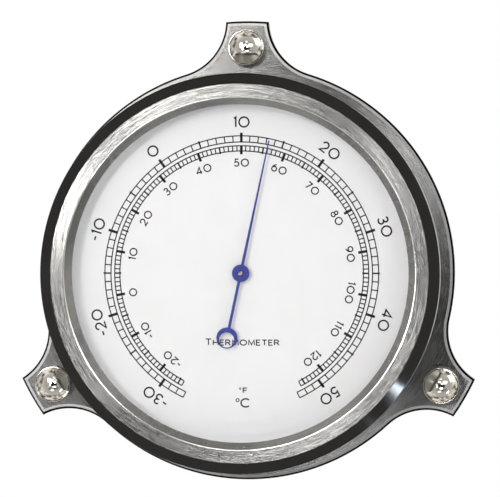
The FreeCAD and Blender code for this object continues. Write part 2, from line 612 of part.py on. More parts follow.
def lug_screw():
    """Screw with a knurled head, a polished dome and a plain neck, built on the pointer axis."""
    head_rear = PLATE_THICKNESS + LUG_WASHER_THICKNESS
    head_front = head_rear + KNURL_HEIGHT
    half_step = 180.0 / KNURL_RIDGES
    corners = []
    for index in range(KNURL_RIDGES):
        corners.append(polar(KNURL_OUTER_RADIUS, 2 * index * half_step))
        corners.append(polar(KNURL_ROOT_RADIUS, (2 * index + 1) * half_step))
    knurl = sheet(Part.makePolygon(corners + corners[:1]).Edges, head_rear, head_front)
    envelope = turned([
        (0, head_rear),
        (KNURL_OUTER_RADIUS - KNURL_EDGE_BREAK, head_rear),
        (KNURL_OUTER_RADIUS, head_rear + KNURL_EDGE_BREAK),
        (KNURL_OUTER_RADIUS, head_front - KNURL_EDGE_BREAK),
        (KNURL_OUTER_RADIUS - KNURL_EDGE_BREAK, head_front),
        (0, head_front),
    ])
    head = knurl.common(envelope)
    curvature = (DOME_BASE_RADIUS ** 2 + DOME_HEIGHT ** 2) / (2 * DOME_HEIGHT)
    ball = Part.makeSphere(curvature, polar(0, 0, head_front + DOME_HEIGHT - curvature))
    dome = ball.common(rod(DOME_BASE_RADIUS + 1, head_front, head_front + DOME_HEIGHT + 1))
    shank = turned([
        (0, -LUG_SCREW_REACH),
        (LUG_SCREW_RADIUS - LUG_SCREW_TIP_BREAK, -LUG_SCREW_REACH),
        (LUG_SCREW_RADIUS, LUG_SCREW_TIP_BREAK - LUG_SCREW_REACH),
        (LUG_SCREW_RADIUS, -LUG_SCREW_THREAD_START),
        (LUG_SCREW_NECK_RADIUS, -LUG_SCREW_THREAD_START),
        (LUG_SCREW_NECK_RADIUS, head_rear),
        (0, head_rear),
    ])
    return joined(head, [dome, shank])


def lug_washer():
    """Thin washer between a lug and its screw's head."""
    return ring(LUG_HOLE_RADIUS, LUG_WASHER_RADIUS, PLATE_THICKNESS, PLATE_THICKNESS + LUG_WASHER_THICKNESS)


def save(name, shape):
    """Write one named piece, refusing a shape that isn't sound."""
    if not shape.isValid() or shape.Volume <= 0:
        raise ValueError(name + " is not a sound solid")
    shape.exportStep("parts/" + name + ".step")


def save_group(name, shape, distance, angles):
    """Write several like pieces, spaced round a circle, as one node."""
    save(name, Part.makeCompound(repeated(shape, distance, angles)))


os.makedirs("parts", exist_ok=True)

GASKET_REAR = LIP_REAR_DEPTH - GASKET_THICKNESS
GLASS_REAR = GASKET_REAR - GLASS_THICKNESS
SPACER_REAR = DIAL_SEAT_DEPTH + DIAL_THICKNESS

save("back_plate", back_plate())
save("case_drum", case_drum())
save("bezel_ring", bezel_ring())
save("bezel_grub_screws", Part.makeCompound([grub_screw(angle) for angle in DRUM_SCREW_ANGLES]))
save("glass_gasket", ring(GASKET_INNER_RADIUS, GLASS_RADIUS, GASKET_REAR, LIP_REAR_DEPTH))
save("glass", rod(GLASS_RADIUS, GLASS_REAR, GASKET_REAR))
save("glass_retaining_ring",
     ring(KEEPER_INNER_RADIUS, GLASS_REBATE_RADIUS - PRESS_GAP, DRUM_FRONT_DEPTH, GLASS_REAR))
save("spacer_ring", ring(SPACER_INNER_RADIUS, SPACER_OUTER_RADIUS, SPACER_REAR, DRUM_FRONT_DEPTH))
save("dial", dial())

dial_foot = rod(DIAL_FOOT_RADIUS, DIAL_FOOT_REAR_DEPTH, DIAL_SEAT_DEPTH)
save_group("dial_feet", dial_foot, DIAL_FOOT_CIRCLE_RADIUS, DIAL_FOOT_ANGLES)
save_group("dial_foot_nuts", dial_foot_nut(), DIAL_FOOT_CIRCLE_RADIUS, DIAL_FOOT_ANGLES)

save("movement_plate", movement_plate())
save_group("case_pillars", case_pillar(), CASE_PILLAR_CIRCLE_RADIUS, LUG_ANGLES)
front_screw = slotted_countersunk(M25_RADIUS, M25_HEAD_RADIUS, M25_HEAD_HEIGHT, MOVEMENT_PLATE_FRONT, -1)
save_group("pillar_screws_front", front_screw, CASE_PILLAR_CIRCLE_RADIUS, LUG_ANGLES)
rear_screw = slotted_countersunk(M3_RADIUS, M3_HEAD_RADIUS, M3_HEAD_HEIGHT, 0.0, 1)
save_group("pillar_screws_rear", rear_screw, CASE_PILLAR_CIRCLE_RADIUS, LUG_ANGLES)
drum_screw = slotted_countersunk(M25_RADIUS, M25_HEAD_RADIUS, M25_HEAD_HEIGHT, 0.0, 1)
save_group("drum_screws", drum_screw, DRUM_SCREW_CIRCLE_RADIUS, DRUM_SCREW_ANGLES)
save("front_bush", front_bush())
save_group("cock_pillars", cock_pillar(), COCK_PILLAR_CIRCLE_RADIUS, COCK_PILLAR_ANGLES)
save("rear_cock", rear_cock())
save_group("cock_screws", cock_screw(), COCK_PILLAR_CIRCLE_RADIUS, COCK_PILLAR_ANGLES)

coil = bimetal_coil()
save("adjuster_hub", adjuster_hub())
rear_bore = REAR_PIVOT_RADIUS + PIVOT_GAP
save("rear_bush", ring(rear_bore, REAR_BUSH_RADIUS, REAR_BUSH_REAR, ADJUSTER_ARM_FRONT))
save("adjuster_arm", adjuster_arm())
washer_bore = ADJUSTER_JOURNAL_RADIUS + ADJUSTER_JOURNAL_GAP
save("adjuster_spring_washer", ring(washer_bore, SPRING_WASHER_RADIUS, SPRING_WASHER_REAR, COCK_REAR))
save("adjuster_clip", keeper_clip())
save("coil_stud", coil_stud(coil))
save("bimetal_coil", coil)
save("coil_collet", ring(ARBOR_RADIUS + PRESS_GAP, COLLET_RADIUS, COLLET_REAR, COLLET_FRONT))
save("arbor", arbor())
pointer_bore = FRONT_PIVOT_RADIUS + PRESS_GAP
save("pointer_bush", ring(pointer_bore, POINTER_BUSH_RADIUS, POINTER_BUSH_REAR, POINTER_REAR))
save("pointer", pointer())

screw = lug_screw()
washer = lug_washer()
for side, angle in zip(("top", "left", "right"), LUG_ANGLES):
    save("lug_screw_" + side, shifted(screw, LUG_SCREW_CIRCLE_RADIUS, angle))
    save("lug_washer_" + side, shifted(washer, LUG_SCREW_CIRCLE_RADIUS, angle))
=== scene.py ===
# Looks of the wall-mounted dial thermometer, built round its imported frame.
#
# Lengths are millimetres unless a name says otherwise; point() turns them into the frame's metres.
# "Depth" is the distance in front of the wall, so a depth d lies at y = -d. Angles are degrees that
# run anticlockwise from the right, as the reader of the dial sees them.

import math

import bmesh
import bpy
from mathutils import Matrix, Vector


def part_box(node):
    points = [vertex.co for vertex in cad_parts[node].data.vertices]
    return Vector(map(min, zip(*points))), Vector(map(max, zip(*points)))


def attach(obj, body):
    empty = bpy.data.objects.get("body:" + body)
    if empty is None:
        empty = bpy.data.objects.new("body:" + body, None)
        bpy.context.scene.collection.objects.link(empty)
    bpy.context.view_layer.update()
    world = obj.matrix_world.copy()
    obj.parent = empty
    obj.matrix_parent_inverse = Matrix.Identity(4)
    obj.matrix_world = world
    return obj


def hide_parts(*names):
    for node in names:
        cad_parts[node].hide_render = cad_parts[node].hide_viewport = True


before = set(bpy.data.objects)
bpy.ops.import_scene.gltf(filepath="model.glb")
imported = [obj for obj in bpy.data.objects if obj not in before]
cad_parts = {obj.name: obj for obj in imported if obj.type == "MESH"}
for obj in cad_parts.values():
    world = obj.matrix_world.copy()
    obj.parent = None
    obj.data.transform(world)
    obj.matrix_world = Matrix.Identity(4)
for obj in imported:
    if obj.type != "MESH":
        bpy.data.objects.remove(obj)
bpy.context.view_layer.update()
MM = 0.001


def front_of(node):
    """Depth of a CAD node's front."""
    return -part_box(node)[0].y / MM


def rear_of(node):
    """Depth of a CAD node's rear."""
    return -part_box(node)[1].y / MM


def reach_of(node):
    """How far a CAD node reaches to the right of the pointer axis."""
    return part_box(node)[1].x / MM


# ---- sizes --------------------------------------------------------------------------------------
PLATE_RADIUS = 64.0
PLATE_THICKNESS = front_of("back_plate")
PLATE_BEVEL_WIDTH = 0.62
PLATE_BEVEL_DEPTH = 1.0
PLATE_BEVEL_REAR_ROUNDING = 0.1
PLATE_BEVEL_FRONT_ROUNDING = 0.2
PLATE_REAR_ROUNDING = 0.2
PLATE_RIM_WIDTH = 1.4
PLATE_HOLE_EDGE_BREAK = 0.2
LUG_ANGLES = {"top": 90.0, "left": 210.0, "right": 330.0}
LUG_END_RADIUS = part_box("back_plate")[1].z / MM
LUG_HALF_WIDTH = 6.6
LUG_FILLET_RADIUS = 17.5
LUG_HOLE_RADIUS = 2.1
LUG_SCREW_CIRCLE_RADIUS = 69.2
ACCESS_HOLE_RADIUS = 5.0
PILLAR_SCREW_CIRCLE_RADIUS = 26.0
PILLAR_HOLE_RADIUS = 1.53
PILLAR_HEAD_RADIUS = 2.8
PILLAR_HEAD_DEPTH = 1.75
DRUM_SCREW_CIRCLE_RADIUS = 55.5
DRUM_SCREW_ANGLES = (30.0, 150.0, 270.0)
DRUM_HOLE_RADIUS = 1.28
DRUM_HEAD_RADIUS = 2.4
DRUM_HEAD_DEPTH = 1.45
HEAD_SINK = 0.1

BEZEL_RADIUS = reach_of("bezel_ring")
BEZEL_FRONT_DEPTH = front_of("bezel_ring")
BEZEL_REAR_DEPTH = rear_of("bezel_ring")
BEZEL_SHOULDER_DEPTH = 32.6
FACE_OUTER_RADIUS = 57.0
FACE_INNER_RADIUS = 53.0
FACE_OUTER_ROUNDING = 0.12
FACE_INNER_ROUNDING = 0.45
# The face's inner rounding, this far behind its front, takes a far lighter steel: a painted highlight.
FACE_BRIGHT_EDGE_DEPTH = 0.22
BEZEL_SIDE_ROUNDING = 0.3
BEZEL_REAR_ROUNDING = 0.1
LIP_RADIUS = 50.9
LIP_FRONT_DEPTH = 31.6
LIP_FRONT_ROUNDING = 0.08
LIP_REAR_ROUNDING = 0.05
LIP_REAR_DEPTH = front_of("glass_gasket")
GLASS_REBATE_RADIUS = 52.6
SKIRT_CLEARANCE = 0.08
SKIRT_BORE_RADIUS = reach_of("case_drum") + SKIRT_CLEARANCE
DRUM_FRONT_DEPTH = front_of("case_drum")
GRUB_DEPTH = 25.7
GRUB_BORE_RADIUS = 1.28
GRUB_ANGLES = DRUM_SCREW_ANGLES

HEAD_REAR_DEPTH = front_of("lug_washer_top")
KNURL_OUTER_RADIUS = 5.6
KNURL_ROOT_RADIUS = 5.38
KNURL_RIDGES = 56
KNURL_EDGE_BREAK = 0.35
KNURL_REAR_ROUNDING = 0.05
DOME_BASE_RADIUS = 5.2
DOME_HEIGHT = 2.2
GROOVE_WIDTH = 0.16
GROOVE_DEPTH = 0.3
KNURL_FRONT_DEPTH = front_of("lug_screw_top") - DOME_HEIGHT
SHANK_NECK_RADIUS = 1.6
THREAD_RADIUS = 2.0
THREAD_ROOT_RADIUS = 1.68
THREAD_PITCH = 0.7
THREAD_START_DEPTH = -0.3
# The thread grows from nothing over THREAD_TIP_FADE, and THREAD_NECK_SHARE of it is left at the neck.
THREAD_TIP_RADIUS = 1.5
THREAD_TIP_FADE = 0.5
THREAD_NECK_FADE = 0.4
THREAD_NECK_SHARE = 0.3
THREAD_CREST = 1.15
THREAD_FLANK = 1.3
SHANK_TIP_DEPTH = rear_of("lug_screw_top")
SHANK_NECK_STEP = 0.05
SHANK_OVERLAP = 0.5

DIAL_FRONT_DEPTH = front_of("dial")
POINTER_FRONT_DEPTH = front_of("pointer")
POINTER_REAR_DEPTH = rear_of("pointer")
POINTER_REACH = 41.0
POINTER_ROOT_HALF_WIDTH = 0.44
POINTER_TIP_HALF_WIDTH = 0.18
POINTER_HUB_RADIUS = 2.65
POINTER_BORE_RADIUS = 0.81
POINTER_ANGLE = 90.0 - 12.03
POINTER_EDGE_ROUNDING = 0.06
TAIL_HALF_WIDTH = 0.42
CRESCENT_DISTANCE = 20.0
CRESCENT_RADIUS = 3.2
CRESCENT_HOLE_RADIUS = 2.27
CRESCENT_HOLE_DISTANCE = 20.6

# ---- mesh density -------------------------------------------------------------------------------
# ROUND_STEP and SHARP_ANGLE are degrees. SUPPORT is how far beyond a rounding the next points lie, which
# keeps the shading of the flat beside it flat.
ROUND_STEP = 11.0
SUPPORT = 0.03
RING_SEGMENTS = 288
HOLE_SEGMENTS = 48
SHARP_ANGLE = 35.0


# ---- mesh building ------------------------------------------------------------------------------
def point(x, depth, z):
    """A place in the frame, in metres."""
    return Vector((x * MM, -depth * MM, z * MM))


def polar(radius, angle, depth=0.0):
    """A place given by its radius and angle about the pointer axis."""
    turn = math.radians(angle)
    return point(radius * math.cos(turn), depth, radius * math.sin(turn))


def circle(radius, depth, segments=RING_SEGMENTS, distance=0.0, angle=0.0):
    """Ring of points parallel to the wall, about the pointer axis or a place given from it."""
    middle = polar(distance, angle, 0.0)
    return [middle + polar(radius, 360.0 * index / segments, depth) for index in range(segments)]


def rounded(corners, closed=True):
    """Section line through (radius, depth, rounding) corners, each rounding drawn as a short arc."""
    line = []
    count = len(corners)
    for index, (radius, depth, rounding) in enumerate(corners):
        here = Vector((radius, depth))
        at_end = not closed and index in (0, count - 1)
        if at_end or rounding == 0:
            line.append(here)
            continue
        before = (Vector(corners[index - 1][:2]) - here).normalized()
        after = (Vector(corners[(index + 1) % count][:2]) - here).normalized()
        half = before.angle(after) / 2
        setback = rounding / math.tan(half)
        centre = here + (before + after).normalized() * (rounding / math.sin(half))
        start = here + before * setback - centre
        end = here + after * setback - centre
        first = math.atan2(start.y, start.x)
        turn = (math.atan2(end.y, end.x) - first + math.pi) % (2 * math.pi) - math.pi
        steps = max(2, round(abs(math.degrees(turn)) / ROUND_STEP))
        line.append(here + before * (setback + SUPPORT))
        for step in range(steps + 1):
            at = first + turn * step / steps
            line.append(centre + Vector((math.cos(at), math.sin(at))) * rounding)
        line.append(here + after * (setback + SUPPORT))
    return line


def add_wall(shape, rings, closed=False, material=0):
    """Joins rings of points, one after the other, with faces; a ring of one point is a pole."""
    made = [[shape.verts.new(place) for place in ring] for ring in rings]
    pairs = list(zip(made, made[1:]))
    if closed:
        pairs.append((made[-1], made[0]))
    for here, there in pairs:
        count = max(len(here), len(there))
        for index in range(count):
            after = (index + 1) % count
            if len(here) == 1:
                corners = (here[0], there[after], there[index])
            elif len(there) == 1:
                corners = (here[index], here[after], there[0])
            else:
                corners = (here[index], here[after], there[after], there[index])
            shape.faces.new(corners).material_index = material
    return made


def add_cap(shape, rings):
    """Fills the flat area between a ring of vertices and the rings of the holes inside it."""
    edges = []
    for ring in rings:
        for index, corner in enumerate(ring):
            edges.append(shape.edges.get((corner, ring[(index + 1) % len(ring)])))
    bmesh.ops.triangle_fill(shape, use_beauty=True, use_dissolve=False, edges=edges)


def in_scene(name, data):
    """New object in the scene, made from a mesh, light or camera."""
    made = bpy.data.objects.new(name, data)
    bpy.context.scene.collection.objects.link(made)
    return made


def object_of(name, shape):
    """New object made from a shape, which is used up."""
    mesh = bpy.data.meshes.new(name)
    shape.to_mesh(mesh)
    shape.free()
    return in_scene(name, mesh)


def finished(name, shape, materials, body, replaces=(), sharp=SHARP_ANGLE):
    """Turns a shape into a named piece that rides on a body; its materials are given by name."""
    bmesh.ops.recalc_face_normals(shape, faces=shape.faces)
    piece = object_of(name, shape)
    mesh = piece.data
    for material in materials:
        mesh.materials.append(MATERIALS[material])
    mesh.polygons.foreach_set("use_smooth", [True] * len(mesh.polygons))
    mesh.set_sharp_from_angle(angle=math.radians(sharp))
    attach(piece, body)
    if replaces:
        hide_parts(*replaces)
    return piece


# ---- material building --------------------------------------------------------------------------
MATERIALS = {}
SCRATCHES_ROUND = 6.0
SCRATCHES_ACROSS = 1.8
WARM_CAST = (1.0, 0.965, 0.92)
COOL_CAST = (0.94, 0.97, 1.0)


def link(tree, value, socket):
    """Sets a socket to a number or colour, or joins it to another node's output."""
    if isinstance(value, bpy.types.NodeSocket):
        tree.links.new(value, socket)
    else:
        socket.default_value = value


def node(tree, kind, inputs=None, **settings):
    """A new node with its settings and inputs."""
    made = tree.nodes.new("ShaderNode" + kind)
    for name, value in settings.items():
        setattr(made, name, value)
    for name, value in (inputs or {}).items():
        link(tree, value, made.inputs[name])
    return made


def maths(tree, operation, *values):
    """Result of one calculation."""
    made = node(tree, "Math", operation=operation)
    for socket, value in zip(made.inputs, values):
        link(tree, value, socket)
    return made.outputs[0]


def vector_maths(tree, operation, *values):
    """Result of one vector calculation."""
    made = node(tree, "VectorMath", operation=operation)
    for socket, value in zip(made.inputs, values):
        link(tree, value, socket)
    return made.outputs["Value" if operation == "LENGTH" else "Vector"]


def spread(tree, value, low, high, start, end):
    """Maps a value from start..end on to low..high."""
    inputs = {"Value": value, "From Min": start, "From Max": end, "To Min": low, "To Max": high}
    return node(tree, "MapRange", inputs, clamp=True).outputs[0]


def blended(tree, share, first, second):
    """Colour between two others."""
    made = node(tree, "Mix", data_type="RGBA")
    link(tree, share, made.inputs["Factor"])
    link(tree, (*first, 1.0), made.inputs["A"])
    link(tree, (*second, 1.0), made.inputs["B"])
    return made.outputs["Result"]


def noise(tree, where, scale, detail, roughness=0.55):
    """Cloudy value round 0.5; scale counts features per unit of its coordinates."""
    inputs = {"Vector": where, "Scale": scale, "Detail": detail, "Roughness": roughness}
    return node(tree, "TexNoise", inputs).outputs[0]


def raised(tree, height, most, under=None):
    """Normal of a surface lifted by a share, 0 to 1, of the most it rises, over one that lies under it."""
    inputs = {"Height": height, "Distance": most * MM, "Strength": 1.0}
    if under is not None:
        inputs["Normal"] = under
    return node(tree, "Bump", inputs).outputs[0]


def places(tree):
    """Places on the piece, in metres; the pieces' origins are the frame's."""
    return node(tree, "TexCoord").outputs["Object"]


def new_material(name, **sockets):
    """Node tree and Principled shader of a new entry in MATERIALS; a socket's name has _ for a space."""
    made = bpy.data.materials.new(name)
    MATERIALS[name] = made
    made.use_nodes = True
    tree = made.node_tree
    tree.nodes.clear()
    shader = node(tree, "BsdfPrincipled")
    for socket, value in sockets.items():
        shader.inputs[socket.replace("_", " ")].default_value = value
    out = node(tree, "OutputMaterial")
    tree.links.new(shader.outputs[0], out.inputs["Surface"])
    return tree, shader


def polar_places(tree, around, across):
    """Coordinates that stretch a noise into lines round the pointer axis, and the outward direction."""
    from_axis = places(tree)
    flat = vector_maths(tree, "MULTIPLY", from_axis, (1.0, 0.0, 1.0))
    outward = vector_maths(tree, "NORMALIZE", flat)
    distance = vector_maths(tree, "LENGTH", flat)
    turned = vector_maths(tree, "MULTIPLY", outward, (around, around, around))
    depth = node(tree, "SeparateXYZ", {0: from_axis}).outputs["Y"]
    parts = node(tree, "SeparateXYZ", {0: turned})
    along = maths(tree, "ADD", distance, depth)
    lines = maths(tree, "MULTIPLY", along, across)
    inputs = {"X": parts.outputs["X"], "Y": lines, "Z": parts.outputs["Z"]}
    return node(tree, "CombineXYZ", inputs).outputs[0], outward


def turned_metal(name, light, dark, roughness, lines, depth, scratch_depth, anisotropy, around=3.0):
    """Metal finished on a lathe: grooves round an axis, which draw highlights out along the radius.

    lines counts the grooves in a metre, and around how often one changes on its way round. Long grooves
    and short scratches tilt the surface and change its tone. The colour is darker where they cut lowest,
    so the streaks' light and dark are partly painted shade in the hollows and partly random tone. The
    scratches drift between a warm and a cool cast.
    """
    tree, shader = new_material(name, Metallic=1.0, Anisotropic=anisotropy)
    where, outward = polar_places(tree, around, lines)
    scratch_where, _ = polar_places(tree, around * SCRATCHES_ROUND, lines * SCRATCHES_ACROSS)
    grooves = noise(tree, where, 1.0, 3.0, 0.65)
    scratches = noise(tree, scratch_where, 1.0, 2.0, 0.65)
    patches = noise(tree, places(tree), 55.0, 3.0)
    tone = maths(tree, "MULTIPLY", maths(tree, "ADD", grooves, scratches), 0.5)
    metal = blended(tree, spread(tree, tone, 0.0, 1.0, 0.40, 0.60), dark, light)
    cast = blended(tree, spread(tree, scratches, 0.0, 1.0, 0.38, 0.62), WARM_CAST, COOL_CAST)
    tinted = node(tree, "Mix", data_type="RGBA", blend_type="MULTIPLY")
    for socket, value in (("Factor", 1.0), ("A", metal), ("B", cast)):
        link(tree, value, tinted.inputs[socket])
    link(tree, tinted.outputs["Result"], shader.inputs["Base Color"])
    mixed = maths(tree, "ADD", scratches, patches)
    rough = spread(tree, mixed, roughness * 0.8, roughness * 1.25, 0.75, 1.25)
    link(tree, rough, shader.inputs["Roughness"])
    surface = raised(tree, grooves, depth)
    link(tree, raised(tree, scratches, scratch_depth, surface), shader.inputs["Normal"])
    along = node(tree, "VectorTransform", {"Vector": outward}, vector_type="VECTOR",
                 convert_from="OBJECT", convert_to="WORLD").outputs[0]
    link(tree, along, shader.inputs["Tangent"])


def polished_metal(name, colour, shade, roughness, ripple=0.004, scale=90.0):
    """Bright metal with faint smudges and a trace of waviness."""
    tree, shader = new_material(name, Metallic=1.0)
    smudge = noise(tree, places(tree), scale, 4.0)
    fine = noise(tree, places(tree), scale * 14, 2.0)
    tone = spread(tree, smudge, 0.0, 1.0, 0.35, 0.65)
    link(tree, blended(tree, tone, shade, colour), shader.inputs["Base Color"])
    marks = maths(tree, "MULTIPLY", smudge, fine)
    rough = spread(tree, marks, roughness * 0.85, roughness * 1.2, 0.15, 0.4)
    link(tree, rough, shader.inputs["Roughness"])
    link(tree, raised(tree, smudge, ripple), shader.inputs["Normal"])


def grained(name, colour, shade, roughness, scale, height, metallic=0.0, **sockets):
    """Plain material with a fine all-over grain in colour, gloss and height."""
    tree, shader = new_material(name, Metallic=metallic, **sockets)
    grain = noise(tree, places(tree), scale, 4.0, 0.6)
    cloud = noise(tree, places(tree), scale / 12, 3.0)
    mixed = maths(tree, "MULTIPLY", maths(tree, "ADD", grain, cloud), 0.5)
    tone = spread(tree, mixed, 0.0, 1.0, 0.36, 0.64)
    link(tree, blended(tree, tone, shade, colour), shader.inputs["Base Color"])
    rough = spread(tree, grain, roughness * 0.85, roughness * 1.15, 0.35, 0.65)
    link(tree, rough, shader.inputs["Roughness"])
    link(tree, raised(tree, grain, height), shader.inputs["Normal"])


def clear_pane(name, colour, haze_colour):
    """Clear glass; shadow rays and diffuse bounces go straight through it, so it doesn't dim the dial."""
    tree, shader = new_material(name, Transmission_Weight=1.0, IOR=1.5, Roughness=0.0)
    haze = noise(tree, places(tree), 60.0, 3.0)
    tone = spread(tree, haze, 0.0, 1.0, 0.4, 0.6)
    link(tree, blended(tree, tone, haze_colour, colour), shader.inputs["Base Color"])
    through = node(tree, "BsdfTransparent")
    shadow = node(tree, "LightPath").outputs["Is Shadow Ray"]
    bounced = node(tree, "LightPath").outputs["Is Diffuse Ray"]
    choice = node(tree, "MixShader", {0: shadow, 1: shader.outputs[0], 2: through.outputs[0]})
    open_way = node(tree, "MixShader", {0: bounced, 1: choice.outputs[0], 2: through.outputs[0]})
    tree.links.new(open_way.outputs[0], tree.nodes["Material Output"].inputs["Surface"])


# ---- materials ----------------------------------------------------------------------------------
# Metals turned on a lathe: tone on the ridges, painted shade in the grooves, roughness, grooves in a
# metre, depths of grooves and scratches, anisotropy.
turned_metal("brushed_plate", (0.235, 0.234, 0.229), (0.155, 0.154, 0.151), 0.23, 2200.0, 0.02, 0.004, 0.78)
turned_metal("bezel_brushed", (0.34, 0.337, 0.33), (0.13, 0.129, 0.127), 0.22, 2700.0, 0.07, 0.022, 0.78,
             around=4.0)
turned_metal("case_steel", (0.52, 0.516, 0.508), (0.40, 0.397, 0.39), 0.32, 2000.0, 0.02, 0.004, 0.6)
turned_metal("washer_steel", (0.28, 0.278, 0.273), (0.20, 0.199, 0.195), 0.28, 2500.0, 0.01, 0.003, 0.4)

# Polished metals: tone, shade, roughness.
# bezel_metal is near black: polished steel with a painted dark reflection, used on the bezel's outer bevel
# and the plate's bevel.
polished_metal("bezel_metal", (0.046, 0.046, 0.046), (0.041, 0.041, 0.041), 0.07)
polished_metal("bezel_inner", (0.31, 0.31, 0.305), (0.29, 0.29, 0.285), 0.25, ripple=0.001, scale=25.0)
# bezel_edge is the ring's steel made far lighter: a painted highlight on the face's inner edge.
polished_metal("bezel_edge", (0.88, 0.875, 0.87), (0.82, 0.815, 0.81), 0.10)
polished_metal("plate_edge", (0.34, 0.337, 0.332), (0.29, 0.287, 0.282), 0.46)
polished_metal("polished_nickel", (0.76, 0.74, 0.69), (0.70, 0.675, 0.62), 0.035)

# Metals with a fine grain: tone, shade, roughness, grain in a metre, grain height, metallic share.
grained("screw_steel", (0.55, 0.54, 0.52), (0.40, 0.39, 0.38), 0.30, 2600.0, 0.002, 1.0)
grained("thread_steel", (0.60, 0.59, 0.56), (0.42, 0.41, 0.39), 0.28, 2200.0, 0.002, 1.0)
grained("dark_screw", (0.06, 0.06, 0.065), (0.03, 0.03, 0.032), 0.38, 2600.0, 0.002, 0.8)
grained("brass", (0.80, 0.58, 0.26), (0.66, 0.46, 0.19), 0.26, 1800.0, 0.003, 1.0)
grained("bush_bronze", (0.68, 0.42, 0.23), (0.52, 0.31, 0.16), 0.30, 2200.0, 0.003, 1.0)
grained("spring_bronze", (0.72, 0.50, 0.30), (0.58, 0.39, 0.22), 0.24, 2000.0, 0.002, 1.0)
grained("turned_steel", (0.58, 0.57, 0.55), (0.44, 0.43, 0.42), 0.26, 2000.0, 0.002, 1.0)
grained("bimetal", (0.52, 0.48, 0.43), (0.38, 0.34, 0.30), 0.34, 1600.0, 0.003, 1.0)
grained("arbor_steel", (0.20, 0.155, 0.19), (0.14, 0.105, 0.13), 0.45, 3000.0, 0.002, 1.0)

# The rest: tone, shade, roughness, grain in a metre, grain height.
grained("gasket", (0.030, 0.030, 0.032), (0.018, 0.018, 0.019), 0.62, 1500.0, 0.006)
grained("keeper_plastic", (0.050, 0.050, 0.052), (0.032, 0.032, 0.033), 0.48, 1800.0, 0.004)
grained("dial_white", (0.77, 0.772, 0.785), (0.74, 0.742, 0.757), 0.55, 3200.0, 0.003)
grained("dial_ink", (0.009, 0.009, 0.010), (0.005, 0.005, 0.005), 0.60, 4200.0, 0.003,
        Specular_IOR_Level=0.12)
grained("pointer_blue", (0.026, 0.042, 0.270), (0.018, 0.030, 0.210), 0.45, 2600.0, 0.002,
        Specular_IOR_Level=0.2)
grained("floor_paint", (0.86, 0.86, 0.85), (0.83, 0.83, 0.82), 0.7, 60.0, 0.02)
clear_pane("clear_glass", (1.0, 1.0, 1.0), (0.985, 0.99, 0.988))

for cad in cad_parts.values():
    slot = cad.data.materials[0].name.split(".")[0]
    cad.material_slots[0].material = MATERIALS[slot]


# ---- back plate ---------------------------------------------------------------------------------
RIM_STEPS = 40
FILLET_STEPS = 30
END_STEPS = 12
# Material numbers of the plate's faces; those that have neither keep 0, the brushed metal.
EDGE = 1
# The steep bevel takes the near-black bezel_metal, a painted dark reflection that draws the plate's black
# outline.
BEVEL = 2
# A face of the rim is in the bevel, and not in a rounding, where its normal's part along the depth is
# less than this.
BEVEL_LEAN = 0.8


def angle_at_axis(first, second, opposite):
    """Angle between two sides of a triangle, in degrees, from its three sides."""
    return math.degrees(math.acos((first ** 2 + second ** 2 - opposite ** 2) / (2 * first * second)))


def plate_outline(inset, depth):
    """The plate's outline, moved in from its edge by an inset, as a ring of points.

    A concave fillet joins each side of a lug to the rim. The pointer axis, the fillet's centre and the
    corner at the lug's end make the triangle that says where the fillet begins and stops.
    """
    reach = PLATE_RADIUS + LUG_FILLET_RADIUS
    end = LUG_END_RADIUS - inset
    hollow = LUG_FILLET_RADIUS + inset
    rim = PLATE_RADIUS - inset
    corner = math.degrees(math.asin(LUG_HALF_WIDTH / LUG_END_RADIUS))
    fillet_turn = corner + angle_at_axis(reach, LUG_END_RADIUS, LUG_FILLET_RADIUS)
    opening = angle_at_axis(reach, end, hollow)
    corner_turn = fillet_turn - opening
    sweep = math.degrees(math.asin(end * math.sin(math.radians(opening)) / hollow))
    if reach - end * math.cos(math.radians(opening)) < 0:
        sweep = 180.0 - sweep
    outline = []
    for angle in LUG_ANGLES.values():
        before = angle - fillet_turn
        for step in range(FILLET_STEPS):
            turn = before + 180.0 - sweep * step / FILLET_STEPS
            outline.append(polar(reach, before, depth) + polar(hollow, turn, 0.0))
        for step in range(END_STEPS + 1):
            outline.append(polar(end, angle + corner_turn * (2 * step / END_STEPS - 1), depth))
        after = angle + fillet_turn
        for step in range(FILLET_STEPS - 1, -1, -1):
            turn = after + 180.0 + sweep * step / FILLET_STEPS
            outline.append(polar(reach, after, depth) + polar(hollow, turn, 0.0))
        gap = 360.0 / len(LUG_ANGLES) - 2 * fillet_turn
        for step in range(1, RIM_STEPS):
            outline.append(polar(rim, after + gap * step / RIM_STEPS, depth))
    return outline


